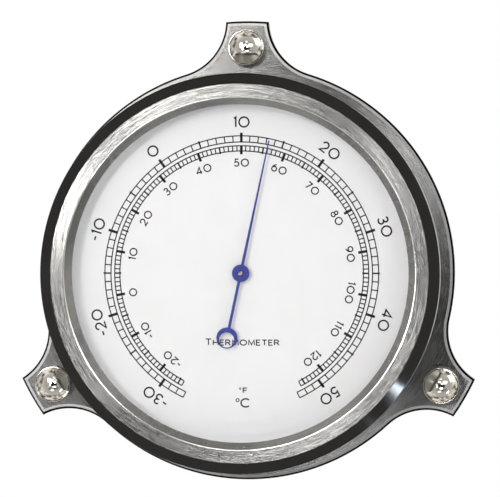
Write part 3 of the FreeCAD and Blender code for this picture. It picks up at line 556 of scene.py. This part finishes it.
def back_plate():
    """Plate with a steep polished bevel round its front, lug holes and countersinks in its rear."""
    shape = bmesh.new()
    edge = rounded([
        (PLATE_RIM_WIDTH, 0.0, 0.0),
        (0.0, 0.0, PLATE_REAR_ROUNDING),
        (0.0, PLATE_THICKNESS - PLATE_BEVEL_DEPTH, PLATE_BEVEL_REAR_ROUNDING),
        (PLATE_BEVEL_WIDTH, PLATE_THICKNESS, PLATE_BEVEL_FRONT_ROUNDING),
        (PLATE_RIM_WIDTH, PLATE_THICKNESS, 0.0),
    ], closed=False)
    rings = add_wall(shape, [plate_outline(inset, depth) for inset, depth in edge], material=EDGE)
    for face in shape.faces:
        face.normal_update()
        in_bevel = -face.calc_center_median().y > (PLATE_THICKNESS - PLATE_BEVEL_DEPTH) * MM
        if in_bevel and abs(face.normal.y) < BEVEL_LEAN:
            face.material_index = BEVEL
    rear_rings = [rings[0]]
    front_rings = [rings[-1]]

    def drill(distance, angle, bore, mouth, cone_depth, lip=0.0):
        """Hole with a cone in the plate's rear; a lip sinks the cone's mouth."""
        section = [(mouth, 0.0), (mouth, lip)] if lip else [(mouth, 0.0)]
        section += [(bore, cone_depth), (bore, PLATE_THICKNESS)]
        hole = add_wall(shape, [circle(radius, depth, HOLE_SEGMENTS, distance, angle)
                                for radius, depth in section], material=EDGE)
        rear_rings.append(hole[0])
        front_rings.append(hole[-1])

    chamfer = PLATE_HOLE_EDGE_BREAK
    drill(0.0, 0.0, ACCESS_HOLE_RADIUS, ACCESS_HOLE_RADIUS + chamfer, chamfer)
    for angle in LUG_ANGLES.values():
        drill(LUG_SCREW_CIRCLE_RADIUS, angle, LUG_HOLE_RADIUS, LUG_HOLE_RADIUS + chamfer, chamfer)
        drill(PILLAR_SCREW_CIRCLE_RADIUS, angle, PILLAR_HOLE_RADIUS, PILLAR_HEAD_RADIUS,
              PILLAR_HEAD_DEPTH, HEAD_SINK)
    for angle in DRUM_SCREW_ANGLES:
        drill(DRUM_SCREW_CIRCLE_RADIUS, angle, DRUM_HOLE_RADIUS, DRUM_HEAD_RADIUS,
              DRUM_HEAD_DEPTH, HEAD_SINK)
    add_cap(shape, rear_rings)
    add_cap(shape, front_rings)
    # The third, for the bevel, is near black: a painted dark reflection.
    materials = ["brushed_plate", "plate_edge", "bezel_metal"]
    finished("plate_body", shape, materials, "case", ["back_plate"])


back_plate()


# ---- bezel --------------------------------------------------------------------------------------
# Material numbers of the bezel's faces; the rest, the outer bevel's among them, keep 0, near-black metal:
# polished steel with a painted dark reflection in its colour.
FACE = 1
INNER_BEVEL = 2
SIDE = 3
# The bright edge is a painted highlight: steel far lighter than the rest of the ring.
BRIGHT_EDGE = 4
GRUB_OVERCUT = 1.0
FLAT_TOLERANCE = 0.001
SIDE_MARGIN = 0.2


def paint_bezel(shape):
    """Gives each face of the front ring the material of its part, among them the painted dark reflection on
    the outer bevel and the painted highlight along the face's inner edge.
    """
    flat_depth = (BEZEL_FRONT_DEPTH - FLAT_TOLERANCE) * MM
    side_depth = (BEZEL_SHOULDER_DEPTH - SIDE_MARGIN) * MM
    edge_depth = (BEZEL_FRONT_DEPTH - FACE_BRIGHT_EDGE_DEPTH) * MM
    for face in shape.faces:
        middle = face.calc_center_median()
        distance = Vector((middle.x, middle.z)).length / MM
        if all(-corner.co.y > flat_depth for corner in face.verts):
            face.material_index = FACE
        elif distance < FACE_INNER_RADIUS + FACE_INNER_ROUNDING:
            face.material_index = BRIGHT_EDGE if -middle.y > edge_depth else INNER_BEVEL
        elif all(-corner.co.y < side_depth for corner in face.verts):
            face.material_index = SIDE


def bore_cutter():
    """Rods that cut the set-screw bores through the bezel's side."""
    bores = bmesh.new()
    for angle in GRUB_ANGLES:
        across = polar(1.0, angle + 90.0).normalized()
        ends = []
        for distance in (SKIRT_BORE_RADIUS - GRUB_OVERCUT, BEZEL_RADIUS + GRUB_OVERCUT):
            centre = polar(distance, angle, GRUB_DEPTH)
            ring = []
            for index in range(HOLE_SEGMENTS):
                turn = 2 * math.pi * index / HOLE_SEGMENTS
                offset = across * math.cos(turn) + Vector((0, 1, 0)) * math.sin(turn)
                ring.append(centre + offset * GRUB_BORE_RADIUS * MM)
            ends.append(ring)
        for ring in add_wall(bores, ends):
            bores.faces.new(ring)
    bmesh.ops.recalc_face_normals(bores, faces=bores.faces)
    return object_of("bores", bores)


def bezel():
    """Front ring: polished bevels either side of a brushed face, softened edges, set-screw bores."""
    section = rounded([
        (FACE_OUTER_RADIUS, BEZEL_FRONT_DEPTH, FACE_OUTER_ROUNDING),
        (BEZEL_RADIUS, BEZEL_SHOULDER_DEPTH, BEZEL_SIDE_ROUNDING),
        (BEZEL_RADIUS, BEZEL_REAR_DEPTH, BEZEL_SIDE_ROUNDING),
        (SKIRT_BORE_RADIUS, BEZEL_REAR_DEPTH, BEZEL_REAR_ROUNDING),
        (SKIRT_BORE_RADIUS, DRUM_FRONT_DEPTH, 0.0),
        (GLASS_REBATE_RADIUS, DRUM_FRONT_DEPTH, 0.0),
        (GLASS_REBATE_RADIUS, LIP_REAR_DEPTH, 0.0),
        (LIP_RADIUS, LIP_REAR_DEPTH, LIP_REAR_ROUNDING),
        (LIP_RADIUS, LIP_FRONT_DEPTH, LIP_FRONT_ROUNDING),
        (FACE_INNER_RADIUS, BEZEL_FRONT_DEPTH, FACE_INNER_ROUNDING),
    ])
    shape = bmesh.new()
    add_wall(shape, [circle(radius, depth) for radius, depth in section], closed=True)
    paint_bezel(shape)
    # bezel_metal is the outer bevel's painted dark reflection; bezel_edge is the painted highlight along the
    # face's inner edge.
    materials = ["bezel_metal", "bezel_brushed", "bezel_inner", "case_steel", "bezel_edge"]
    piece = finished("bezel", shape, materials, "case", ["bezel_ring"])
    cutter = bore_cutter()
    cut = piece.modifiers.new("bores", "BOOLEAN")
    cut.operation = "DIFFERENCE"
    cut.solver = "EXACT"
    cut.object = cutter
    bpy.context.view_layer.update()
    evaluated = piece.evaluated_get(bpy.context.evaluated_depsgraph_get())
    piece.data = bpy.data.meshes.new_from_object(evaluated)
    piece.data.name = "bezel"
    piece.modifiers.clear()
    bpy.data.objects.remove(cutter)
    piece.data.set_sharp_from_angle(angle=math.radians(SHARP_ANGLE))


bezel()


# ---- lug screws ---------------------------------------------------------------------------------
KNURL_SAMPLES = 6
DOME_STEPS = 22
THREAD_COLUMNS = 40
THREAD_ROWS_PER_TURN = 8
KNURL_SHARP_ANGLE = 40.0


def head_ring(axis, radius, depth, knurled=True):
    """Ring of a screw's head, following the knurl's ridges where it reaches them."""
    columns = KNURL_RIDGES * KNURL_SAMPLES
    ring = []
    for column in range(columns):
        wave = 0.5 + 0.5 * math.cos(2 * math.pi * column / KNURL_SAMPLES)
        limit = KNURL_ROOT_RADIUS + (KNURL_OUTER_RADIUS - KNURL_ROOT_RADIUS) * wave
        reach = min(radius, limit) if knurled else radius
        ring.append(axis + polar(reach, 360.0 * column / columns, depth))
    return ring


def head_rings(axis):
    """Rings of a screw's head, from its rear to the top of its dome."""
    section = rounded([
        (1.0, HEAD_REAR_DEPTH, 0.0),
        (KNURL_OUTER_RADIUS - KNURL_EDGE_BREAK, HEAD_REAR_DEPTH, KNURL_REAR_ROUNDING),
        (KNURL_OUTER_RADIUS, HEAD_REAR_DEPTH + KNURL_EDGE_BREAK, 0.0),
        (KNURL_OUTER_RADIUS, KNURL_FRONT_DEPTH, KNURL_EDGE_BREAK),
        (DOME_BASE_RADIUS, KNURL_FRONT_DEPTH, 0.0),
        (DOME_BASE_RADIUS, KNURL_FRONT_DEPTH - GROOVE_DEPTH, 0.0),
        (DOME_BASE_RADIUS - GROOVE_WIDTH, KNURL_FRONT_DEPTH - GROOVE_DEPTH, 0.0),
    ], closed=False)
    rings = [[axis + polar(0.0, 0.0, HEAD_REAR_DEPTH)]]
    rings += [head_ring(axis, radius, depth) for radius, depth in section]
    curvature = (DOME_BASE_RADIUS ** 2 + DOME_HEIGHT ** 2) / (2 * DOME_HEIGHT)
    widest = math.asin(DOME_BASE_RADIUS / curvature)
    top_depth = KNURL_FRONT_DEPTH + DOME_HEIGHT
    for step in range(1, DOME_STEPS):
        tilt = widest * (1 - step / DOME_STEPS)
        depth = top_depth - curvature + curvature * math.cos(tilt)
        rings.append(head_ring(axis, curvature * math.sin(tilt), depth, knurled=False))
    rings.append([axis + polar(0.0, 0.0, top_depth)])
    return rings


def thread_radius(depth, turn):
    """Radius of the shank at a depth and a share of a turn; the thread fades out at both ends."""
    from_tip = depth - SHANK_TIP_DEPTH
    from_neck = THREAD_START_DEPTH - depth
    fade = min(1.0, from_tip / THREAD_TIP_FADE, THREAD_NECK_SHARE + from_neck / THREAD_NECK_FADE)
    phase = (depth / THREAD_PITCH - turn) % 1.0
    ridge = max(0.0, min(1.0, THREAD_CREST - abs(2 * phase - 1) * THREAD_FLANK))
    radius = THREAD_ROOT_RADIUS + (THREAD_RADIUS - THREAD_ROOT_RADIUS) * ridge * fade
    return min(radius, THREAD_TIP_RADIUS + from_tip)


def shank_rings(axis):
    """Rings of a screw's shank, from its tip to inside its head."""
    length = THREAD_START_DEPTH - SHANK_TIP_DEPTH
    rows = int(length / THREAD_PITCH * THREAD_ROWS_PER_TURN)
    turns = [column / THREAD_COLUMNS for column in range(THREAD_COLUMNS)]
    rings = [[axis + polar(0.0, 0.0, SHANK_TIP_DEPTH)]]
    for row in range(rows + 1):
        depth = SHANK_TIP_DEPTH + length * row / rows
        rings.append([axis + polar(thread_radius(depth, turn), 360.0 * turn, depth) for turn in turns])
    top_depth = HEAD_REAR_DEPTH + SHANK_OVERLAP
    for depth in (THREAD_START_DEPTH + SHANK_NECK_STEP, top_depth):
        rings.append([axis + polar(SHANK_NECK_RADIUS, 360.0 * turn, depth) for turn in turns])
    rings.append([axis + polar(0.0, 0.0, top_depth)])
    return rings


def lug_screw(side, angle):
    """Screw with a knurled head, a mirror dome set in a groove and a threaded shank."""
    axis = polar(LUG_SCREW_CIRCLE_RADIUS, angle)
    shape = bmesh.new()
    add_wall(shape, head_rings(axis))
    add_wall(shape, shank_rings(axis), material=1)
    materials = ["polished_nickel", "thread_steel"]
    finished("screw_" + side + "_body", shape, materials, "screw_" + side,
             ["lug_screw_" + side], sharp=KNURL_SHARP_ANGLE)


for side, angle in LUG_ANGLES.items():
    lug_screw(side, angle)


# ---- pointer ------------------------------------------------------------------------------------
POINTER_STEP = 4.0


def arc(x, y, reach_x, reach_y, start, end, step=8.0):
    """Points along an arc from one angle to another, either way round."""
    count = max(2, round(abs(end - start) / step))
    line = []
    for index in range(count + 1):
        turn = math.radians(start + (end - start) * index / count)
        line.append((x + reach_x * math.cos(turn), y + reach_y * math.sin(turn)))
    return line


def inset_loop(loop, inset):
    """A closed loop of (x, y) points moved to its right, into the metal: holes run anticlockwise."""
    moved = []
    for index, here in enumerate(loop):
        here = Vector(here)
        before = (here - Vector(loop[index - 1])).normalized()
        after = (Vector(loop[(index + 1) % len(loop)]) - here).normalized()
        across = Vector((before.y, -before.x)) + Vector((after.y, -after.x))
        across.normalize()
        stretch = max(0.6, across.dot(Vector((after.y, -after.x))))
        moved.append(here + across * (inset / stretch))
    return moved


def disc(distance, radius, start, end, step=POINTER_STEP):
    """Arc about a place on the pointer, a distance from its axis towards the tip."""
    return arc(0.0, distance, radius, radius, start, end, step)


def pointer_loops():
    """Outline, crescent hole and bore of a pointer that points straight up, as loops of (x, y)."""
    hub_root = math.degrees(math.asin(POINTER_ROOT_HALF_WIDTH / POINTER_HUB_RADIUS))
    hub_tail = math.degrees(math.asin(TAIL_HALF_WIDTH / POINTER_HUB_RADIUS))
    ring_tail = math.degrees(math.asin(TAIL_HALF_WIDTH / CRESCENT_RADIUS))
    outline = disc(POINTER_REACH - POINTER_TIP_HALF_WIDTH, POINTER_TIP_HALF_WIDTH, 180.0, 0.0, 30.0)
    outline += disc(0.0, POINTER_HUB_RADIUS, 90.0 - hub_root, hub_tail - 90.0)
    outline += disc(-CRESCENT_DISTANCE, CRESCENT_RADIUS, 90.0 - ring_tail, ring_tail - 270.0)
    outline += disc(0.0, POINTER_HUB_RADIUS, -hub_tail - 90.0, hub_root - 270.0)
    crescent = disc(-CRESCENT_HOLE_DISTANCE, CRESCENT_HOLE_RADIUS, 0.0, 355.0, 5.0)
    bore = disc(0.0, POINTER_BORE_RADIUS, 0.0, 352.0, 8.0)
    return outline, crescent, bore


def pointer():
    """Flat pointer with softened edges: tapering blade, round hub and crescent counterweight."""
    soft = POINTER_EDGE_ROUNDING
    edge = (
        (soft, POINTER_REAR_DEPTH),
        (0.0, POINTER_REAR_DEPTH + soft),
        (0.0, POINTER_FRONT_DEPTH - soft),
        (soft * 0.3, POINTER_FRONT_DEPTH - soft * 0.3),
        (soft, POINTER_FRONT_DEPTH),
        (soft * 1.3, POINTER_FRONT_DEPTH),
    )
    turn = math.radians(POINTER_ANGLE - 90.0)
    shape = bmesh.new()
    rear_rings = []
    front_rings = []
    for loop in pointer_loops():
        rings = []
        for inset, depth in edge:
            ring = []
            for x, y in inset_loop(loop, inset):
                ring.append(point(x * math.cos(turn) - y * math.sin(turn), depth,
                                  x * math.sin(turn) + y * math.cos(turn)))
            rings.append(ring)
        made = add_wall(shape, rings)
        rear_rings.append(made[0])
        front_rings.append(made[-1])
    add_cap(shape, rear_rings)
    add_cap(shape, front_rings)
    finished("pointer_blade", shape, ["pointer_blue"], "pointer_shaft", ["pointer"])


pointer()


# ---- dial print ---------------------------------------------------------------------------------
INK_HEIGHT = 0.02
INK_SINK = 0.01
INK_SHARP_ANGLE = 30.0
MINUS_LENGTH = 0.36
MINUS_LEVEL = 0.47
FINE_LINE = 0.35
MIDDLE_LINE = 0.48
BOLD_LINE = 0.80

# A scale's first and last degree, and the radii between which its rails, its fives and its tens run.
CELSIUS_TOP = 10.0
CELSIUS_STEP = 3.6
CELSIUS_SCALE = {
    "lowest": -33,
    "highest": 53,
    "rails": (39.74, 41.59),
    "fives": (39.74, 42.04),
    "tens": (39.65, 42.56),
}
CELSIUS_NUMBERS = {"radius": 45.78, "height": 3.46, "stroke": 0.49, "gap": 0.52}
FAHRENHEIT_TOP = 50.0
FAHRENHEIT_STEP = 2.0
FAHRENHEIT_SCALE = {
    "lowest": -26,
    "highest": 126,
    "rails": (38.59, 37.01),
    "fives": (38.59, 36.59),
    "tens": (38.70, 35.98),
}
FAHRENHEIT_NUMBERS = {"radius": 33.48, "height": 2.50, "stroke": 0.39, "gap": 0.42}
NAME = {"height": 1.88, "capital": 2.18, "stroke": 0.34, "gap": 0.27, "middle": (0.3, -21.0), "wide": 1.26}

# A unit's letter, its height, stroke, width and middle, then its ring's middle, radius, stroke and step.
UNITS = (
    ("F", 1.8, 0.33, 1.45, (1.15, -35.5), (-0.35, -34.95), 0.24, 0.20, 20.0),
    ("C", 2.9, 0.44, 1.15, (1.15, -39.26), (-1.15, -38.45), 0.47, 0.28, 15.0),
)

# Each character has a width and its strokes, drawn one unit high with the origin at its lower left.
UPPER_BOWL = (0.30, 0.765, 0.255, 0.235)
LOWER_BOWL = (0.31, 0.27, 0.31, 0.27)
SIX = [arc(0.35, 0.33, 0.35, 0.33, 0, 360), arc(0.72, 0.34, 0.71, 0.66, 178, 108)]
GLYPHS = {
    "0": (1.0, [arc(0.5, 0.5, 0.5, 0.5, 0, 360)]),
    "1": (0.20, [[(0.0, 0.86), (0.20, 1.0), (0.20, 0.0)]]),
    "2": (0.66, [arc(0.33, 0.68, 0.32, 0.32, 170, -38) + [(0.0, 0.0), (0.66, 0.0)]]),
    "3": (0.62, [arc(*UPPER_BOWL, 155, -90) + arc(*LOWER_BOWL, 90, -155)]),
    "4": (0.74, [[(0.54, 0.0), (0.54, 1.0), (0.0, 0.27), (0.74, 0.27)]]),
    "5": (0.64, [[(0.58, 1.0), (0.17, 1.0), (0.08, 0.52)] + arc(0.31, 0.31, 0.33, 0.31, 125, -150)]),
    "6": (0.70, SIX),
    "7": (0.62, [[(0.0, 1.0), (0.62, 1.0), (0.18, 0.0)]]),
    "8": (0.64, [arc(0.32, 0.765, 0.25, 0.235, 0, 360), arc(0.32, 0.265, 0.32, 0.265, 0, 360)]),
    "9": (0.70, [[(0.70 - x, 1.0 - y) for x, y in stroke] for stroke in SIX]),
    "C": (0.88, [arc(0.5, 0.5, 0.5, 0.5, 45, 315)]),
    "E": (0.58, [[(0.58, 1.0), (0.0, 1.0), (0.0, 0.0), (0.58, 0.0)], [(0.0, 0.52), (0.50, 0.52)]]),
    "F": (0.56, [[(0.56, 1.0), (0.0, 1.0), (0.0, 0.0)], [(0.0, 0.52), (0.48, 0.52)]]),
    "H": (0.76, [[(0.0, 0.0), (0.0, 1.0)], [(0.76, 0.0), (0.76, 1.0)], [(0.0, 0.52), (0.76, 0.52)]]),
    "M": (0.92, [[(0.0, 0.0), (0.06, 1.0), (0.46, 0.08), (0.86, 1.0), (0.92, 0.0)]]),
    "O": (1.0, [arc(0.5, 0.5, 0.5, 0.5, 0, 360)]),
    "R": (0.70, [
        [(0.0, 0.0), (0.0, 1.0), (0.36, 1.0)] + arc(0.36, 0.74, 0.26, 0.26, 80, -80) + [(0.0, 0.48)],
        [(0.36, 0.48), (0.70, 0.0)],
    ]),
    "T": (0.72, [[(0.0, 1.0), (0.72, 1.0)], [(0.36, 1.0), (0.36, 0.0)]]),
}


def ink_ribbon(shape, line, width):
    """Line of raised ink with mitred corners; a line that ends where it starts is closed."""
    closed = (Vector(line[0]) - Vector(line[-1])).length < 1e-6
    dots = [Vector(dot) for dot in (line[:-1] if closed else line)]
    sides = ([], [])
    for index, here in enumerate(dots):
        before = dots[index - 1] if closed or index else None
        after = dots[(index + 1) % len(dots)] if closed or index < len(dots) - 1 else None
        incoming = (here - before).normalized() if before is not None else None
        outgoing = (after - here).normalized() if after is not None else None
        incoming = incoming or outgoing
        outgoing = outgoing or incoming
        across = Vector((-incoming.y, incoming.x)) + Vector((-outgoing.y, outgoing.x))
        across.normalize()
        stretch = max(0.45, across.dot(Vector((-outgoing.y, outgoing.x))))
        across *= width / 2 / stretch
        sides[0].append(here + across)
        sides[1].append(here - across)
    rows = []
    for side, depth in ((0, -INK_SINK), (0, INK_HEIGHT), (1, INK_HEIGHT), (1, -INK_SINK)):
        places_along = [point(dot.x, DIAL_FRONT_DEPTH + depth, dot.y) for dot in sides[side]]
        rows.append([shape.verts.new(place) for place in places_along])
    count = len(dots)
    for index in range(count if closed else count - 1):
        after = (index + 1) % count
        for row, following in zip(rows, rows[1:] + rows[:1]):
            shape.faces.new((row[index], row[after], following[after], following[index]))
    if not closed:
        shape.faces.new([row[0] for row in rows])
        shape.faces.new([row[-1] for row in reversed(rows)])


def ink_text(shape, text, height, stroke, gap, middle, angle=90.0, capital=None, minus=False, wide=1.0):
    """Row of characters centred on a place, their tops pointing along an angle.

    The first letter may be taller than the rest, and all may be wider than drawn. A minus sign goes in
    front without moving the centre.
    """
    sizes = [capital if capital and not index else height for index in range(len(text))]
    widths = [GLYPHS[mark][0] * (size - stroke) * wide + stroke for mark, size in zip(text, sizes)]
    left = -(sum(widths) + gap * (len(text) - 1)) / 2
    turn = math.radians(angle)
    up = Vector((math.cos(turn), math.sin(turn)))
    along = Vector((up.y, -up.x))
    base = Vector(middle) - up * (height / 2)

    def draw(line):
        """One stroke, given along and up from the row's middle and foot."""
        ink_ribbon(shape, [tuple(base + along * x + up * y) for x, y in line], stroke)

    if minus:
        dash = height * MINUS_LENGTH
        level = height * MINUS_LEVEL
        draw([(left - gap - dash, level), (left - gap, level)])
    for mark, size, width in zip(text, sizes, widths):
        scale = size - stroke
        for line in GLYPHS[mark][1]:
            draw([(left + stroke / 2 + x * scale * wide, stroke / 2 + y * scale) for x, y in line])
        left += width + gap


def on_dial(radius, angle):
    """Flat place on the dial."""
    turn = math.radians(angle)
    return (radius * math.cos(turn), radius * math.sin(turn))


def ink_scale(shape, angle_of, lowest, highest, rails, fives, tens):
    """Two rails, with a tick for each degree; the first and last ticks close the rails."""
    start = angle_of(lowest)
    end = angle_of(highest)
    for radius in rails:
        ink_ribbon(shape, arc(0, 0, radius, radius, start, end, 1.0), FINE_LINE)
    for degree in range(lowest, highest + 1):
        reach = rails
        width = FINE_LINE
        if degree % 10 == 0:
            reach = tens
            width = BOLD_LINE
        elif degree % 5 == 0:
            reach = fives
            width = MIDDLE_LINE
        ink_ribbon(shape, [on_dial(radius, angle_of(degree)) for radius in reach], width)


def celsius_angle(degree):
    """Angle of a Celsius mark."""
    return 90.0 - (degree - CELSIUS_TOP) * CELSIUS_STEP


def fahrenheit_angle(degree):
    """Angle of a Fahrenheit mark."""
    return 90.0 - (degree - FAHRENHEIT_TOP) * FAHRENHEIT_STEP


def ink_numbers(shape, angle_of, degrees, radius, height, stroke, gap):
    """Numbers set round the dial with their tops outward."""
    for degree in degrees:
        angle = angle_of(degree)
        middle = on_dial(radius, angle)
        ink_text(shape, str(abs(degree)), height, stroke, gap, middle, angle, minus=degree < 0)


def ink_units(shape):
    """The letters of the two units, each with its degree ring."""
    for letter, height, stroke, wide, middle, ring_middle, ring_radius, ring_stroke, step in UNITS:
        ink_text(shape, letter, height, stroke, 0.0, middle, wide=wide)
        ink_ribbon(shape, arc(*ring_middle, ring_radius, ring_radius, 0, 360, step), ring_stroke)


def printed(name, draw, *inputs, **settings):
    """Piece of raised ink on the dial, drawn by one of the ink functions."""
    shape = bmesh.new()
    draw(shape, *inputs, **settings)
    finished(name, shape, ["dial_ink"], "case", sharp=INK_SHARP_ANGLE)


printed("print_celsius_scale", ink_scale, celsius_angle, **CELSIUS_SCALE)
printed("print_fahrenheit_scale", ink_scale, fahrenheit_angle, **FAHRENHEIT_SCALE)
printed("print_celsius_numbers", ink_numbers, celsius_angle, range(-30, 51, 10), **CELSIUS_NUMBERS)
printed("print_fahrenheit_numbers", ink_numbers, fahrenheit_angle, range(-20, 121, 10), **FAHRENHEIT_NUMBERS)
printed("print_name", ink_text, "THERMOMETER", **NAME)
printed("print_units", ink_units)


# ---- stage, light and camera --------------------------------------------------------------------
AIM_POINT = point(0.0, 30.0, 0.0)
NEAR_M = 0.65
FAR_M = 1.3
SIDE_M = 1.4
WHITE = (1.0, 1.0, 1.0)
WARM = (1.0, 0.98, 0.965)
AMBER = (1.0, 0.97, 0.90)
COOL = (0.97, 0.99, 1.0)
BLUE = (0.80, 0.90, 1.0)

# Each light's name, degrees off the dial's axis and round it, distance, width, height, radiance and
# colour. The keys make the bright sectors of the brushed face, and the small left one the pointer's
# shadow. The windows make the bluish patch on the outer bevel. The back light is for views from behind.
LIGHTS = (
    ("key_left", 19.5, 168.0, NEAR_M, 0.08, 0.12, 11.0, WARM),
    ("key_small_left", 20.0, 166.0, NEAR_M, 0.035, 0.035, 78.0, WARM),
    ("key_upper", 19.5, 128.0, NEAR_M, 0.12, 0.08, 15.0, WARM),
    ("key_top", 17.0, 104.0, FAR_M, 0.16, 0.14, 6.5, WARM),
    ("soft_left", 27.0, 150.0, NEAR_M, 0.22, 0.22, 1.5, WHITE),
    ("soft_right", 24.0, 34.0, FAR_M, 0.40, 0.40, 0.9, WHITE),
    ("key_small", 9.5, 50.0, FAR_M, 0.15, 0.13, 11.5, WHITE),
    ("low_box", 15.5, 282.0, FAR_M, 0.26, 0.13, 9.5, WHITE),
    ("low_left", 19.0, 202.0, FAR_M, 0.11, 0.16, 4.0, WHITE),
    ("fill_right", 31.0, 30.0, FAR_M, 0.25, 0.20, 4.2, COOL),
    ("fill_top", 31.0, 90.0, FAR_M, 0.25, 0.20, 0.9, WHITE),
    ("fill_left", 33.0, 140.0, FAR_M, 0.30, 0.30, 1.8, WHITE),
    ("side_right", 68.0, 32.0, FAR_M, 0.75, 0.75, 0.9, WHITE),
    ("side_low", 33.0, 258.0, SIDE_M, 0.40, 0.20, 0.9, AMBER),
    ("window", 50.0, 318.0, SIDE_M, 0.11, 0.15, 26.0, BLUE),
    ("window_edge", 50.0, 306.0, SIDE_M, 0.03, 0.05, 18.0, BLUE),
    ("back_left", 150.0, 150.0, SIDE_M, 0.9, 0.9, 1.0, WHITE),
)

# What the metal mirrors, from straight behind the object, 0, past its sides, 0.5, to straight ahead of
# the dial, 1. The plate's bevel mirrors the dark band behind the sides, and its black outline comes from
# that and from the near-black colour painted on the bevel as a dark reflection. The glass mirrors the
# dark at the end, which keeps the dial clear.
ROOM_BANDS = (
    (0.00, (1.10, 1.10, 1.12)),
    (0.16, (0.95, 0.95, 0.96)),
    (0.22, (0.05, 0.05, 0.05)),
    (0.38, (0.05, 0.05, 0.05)),
    (0.44, (0.95, 0.94, 0.92)),
    (0.47, (0.95, 0.94, 0.92)),
    (0.50, (0.40, 0.38, 0.36)),
    (0.54, (0.62, 0.59, 0.55)),
    (0.80, (0.62, 0.59, 0.55)),
    (0.90, (0.51, 0.50, 0.49)),
    (0.984, (0.32, 0.32, 0.32)),
    (0.993, (0.04, 0.04, 0.04)),
    (1.00, (0.03, 0.03, 0.03)),
)
# The room's clutter fades out this many degrees off the dial's axis, where the outer bevel looks.
CALM_OFF_AXIS = 46.0

FLOOR_DROP_M = 0.75
FLOOR_RADIUS_M = 3.0
FLOOR_SEGMENTS = 96

CAMERA_AZIMUTH = 4.85
CAMERA_ELEVATION = 0.42
CAMERA_DISTANCE_M = 1.064
CAMERA_LENS = 251.8
CAMERA_SENSOR = 36.0
CAMERA_TARGET = point(2.17, 19.0, 7.45)


def direction(off_axis, angle):
    """Unit vector leaning off the dial's own axis, towards an angle round it."""
    lean = math.radians(off_axis)
    turn = math.radians(angle)
    return Vector((math.sin(lean) * math.cos(turn), -math.cos(lean), math.sin(lean) * math.sin(turn)))


def soft_box(name, off_axis, angle, distance_m, width_m, height_m, radiance, colour):
    """Rectangular studio light facing the thermometer; radiance 1 looks white."""
    light = bpy.data.lights.new(name, "AREA")
    light.shape = "RECTANGLE"
    light.size = width_m
    light.size_y = height_m
    light.energy = radiance * 4 * width_m * height_m
    light.color = colour
    lamp = in_scene(name, light)
    lamp.location = AIM_POINT + direction(off_axis, angle) * distance_m
    lamp.rotation_mode = "QUATERNION"
    lamp.rotation_quaternion = (AIM_POINT - lamp.location).to_track_quat("-Z", "Y")
    lamp.visible_camera = False


def room():
    """World that the metal mirrors as bands with some clutter, and that the camera sees as plain white."""
    world = bpy.data.worlds.new("studio")
    bpy.context.scene.world = world
    world.use_nodes = True
    sky = world.node_tree
    sky.nodes.clear()
    toward = node(sky, "TexCoord").outputs["Generated"]
    ahead = node(sky, "SeparateXYZ", {0: toward}).outputs["Y"]
    ramp = node(sky, "ValToRGB", {0: spread(sky, ahead, 0.0, 1.0, 1.0, -1.0)})
    while len(ramp.color_ramp.elements) < len(ROOM_BANDS):
        ramp.color_ramp.elements.new(1.0)
    for element, (place, colour) in zip(ramp.color_ramp.elements, ROOM_BANDS):
        element.position = place
        element.color = (*colour, 1.0)
    clutter = spread(sky, noise(sky, toward, 3.2, 2.0, 0.5), 0.2, 1.8, 0.38, 0.62)
    calm = maths(sky, "ABSOLUTE", maths(sky, "ADD", ahead, math.cos(math.radians(CALM_OFF_AXIS))))
    busy = spread(sky, calm, 0.0, 1.0, 0.10, 0.20)
    change = maths(sky, "MULTIPLY", busy, maths(sky, "SUBTRACT", clutter, 1.0))
    strength = maths(sky, "ADD", 1.0, change)
    mirrored = node(sky, "Background", {"Color": ramp.outputs[0], "Strength": strength})
    backdrop = node(sky, "Background", {"Color": (*WHITE, 1.0), "Strength": 1.0})
    seen = node(sky, "LightPath").outputs["Is Camera Ray"]
    choice = node(sky, "MixShader", {0: seen, 1: mirrored.outputs[0], 2: backdrop.outputs[0]})
    sky.links.new(choice.outputs[0], node(sky, "OutputWorld").inputs["Surface"])


def studio_floor():
    """Pale disc below the thermometer, which its metal doesn't mirror."""
    shape = bmesh.new()
    rim = []
    for step in range(FLOOR_SEGMENTS):
        turn = 2 * math.pi * step / FLOOR_SEGMENTS
        rim.append(Vector((FLOOR_RADIUS_M * math.cos(turn), FLOOR_RADIUS_M * math.sin(turn), -FLOOR_DROP_M)))
    shape.faces.new([shape.verts.new(place) for place in rim])
    floor = object_of("floor", shape)
    floor.data.materials.append(MATERIALS["floor_paint"])
    floor.visible_glossy = False


def camera():
    """Camera at the photograph's angle: a little to the right of the dial's axis."""
    turn = math.radians(CAMERA_AZIMUTH)
    rise = math.radians(CAMERA_ELEVATION)
    back = Vector((math.sin(turn) * math.cos(rise), -math.cos(turn) * math.cos(rise), math.sin(rise)))
    lens = bpy.data.cameras.new("camera")
    lens.lens = CAMERA_LENS
    lens.sensor_width = CAMERA_SENSOR
    lens.clip_start = 0.05
    lens.clip_end = 20.0
    eye = in_scene("camera", lens)
    eye.location = CAMERA_TARGET + back * CAMERA_DISTANCE_M
    eye.rotation_mode = "QUATERNION"
    eye.rotation_quaternion = (-back).to_track_quat("-Z", "Y")
    bpy.context.scene.camera = eye


for light in LIGHTS:
    soft_box(*light)
room()
studio_floor()
camera()
bpy.context.scene.view_settings.view_transform = "Standard"
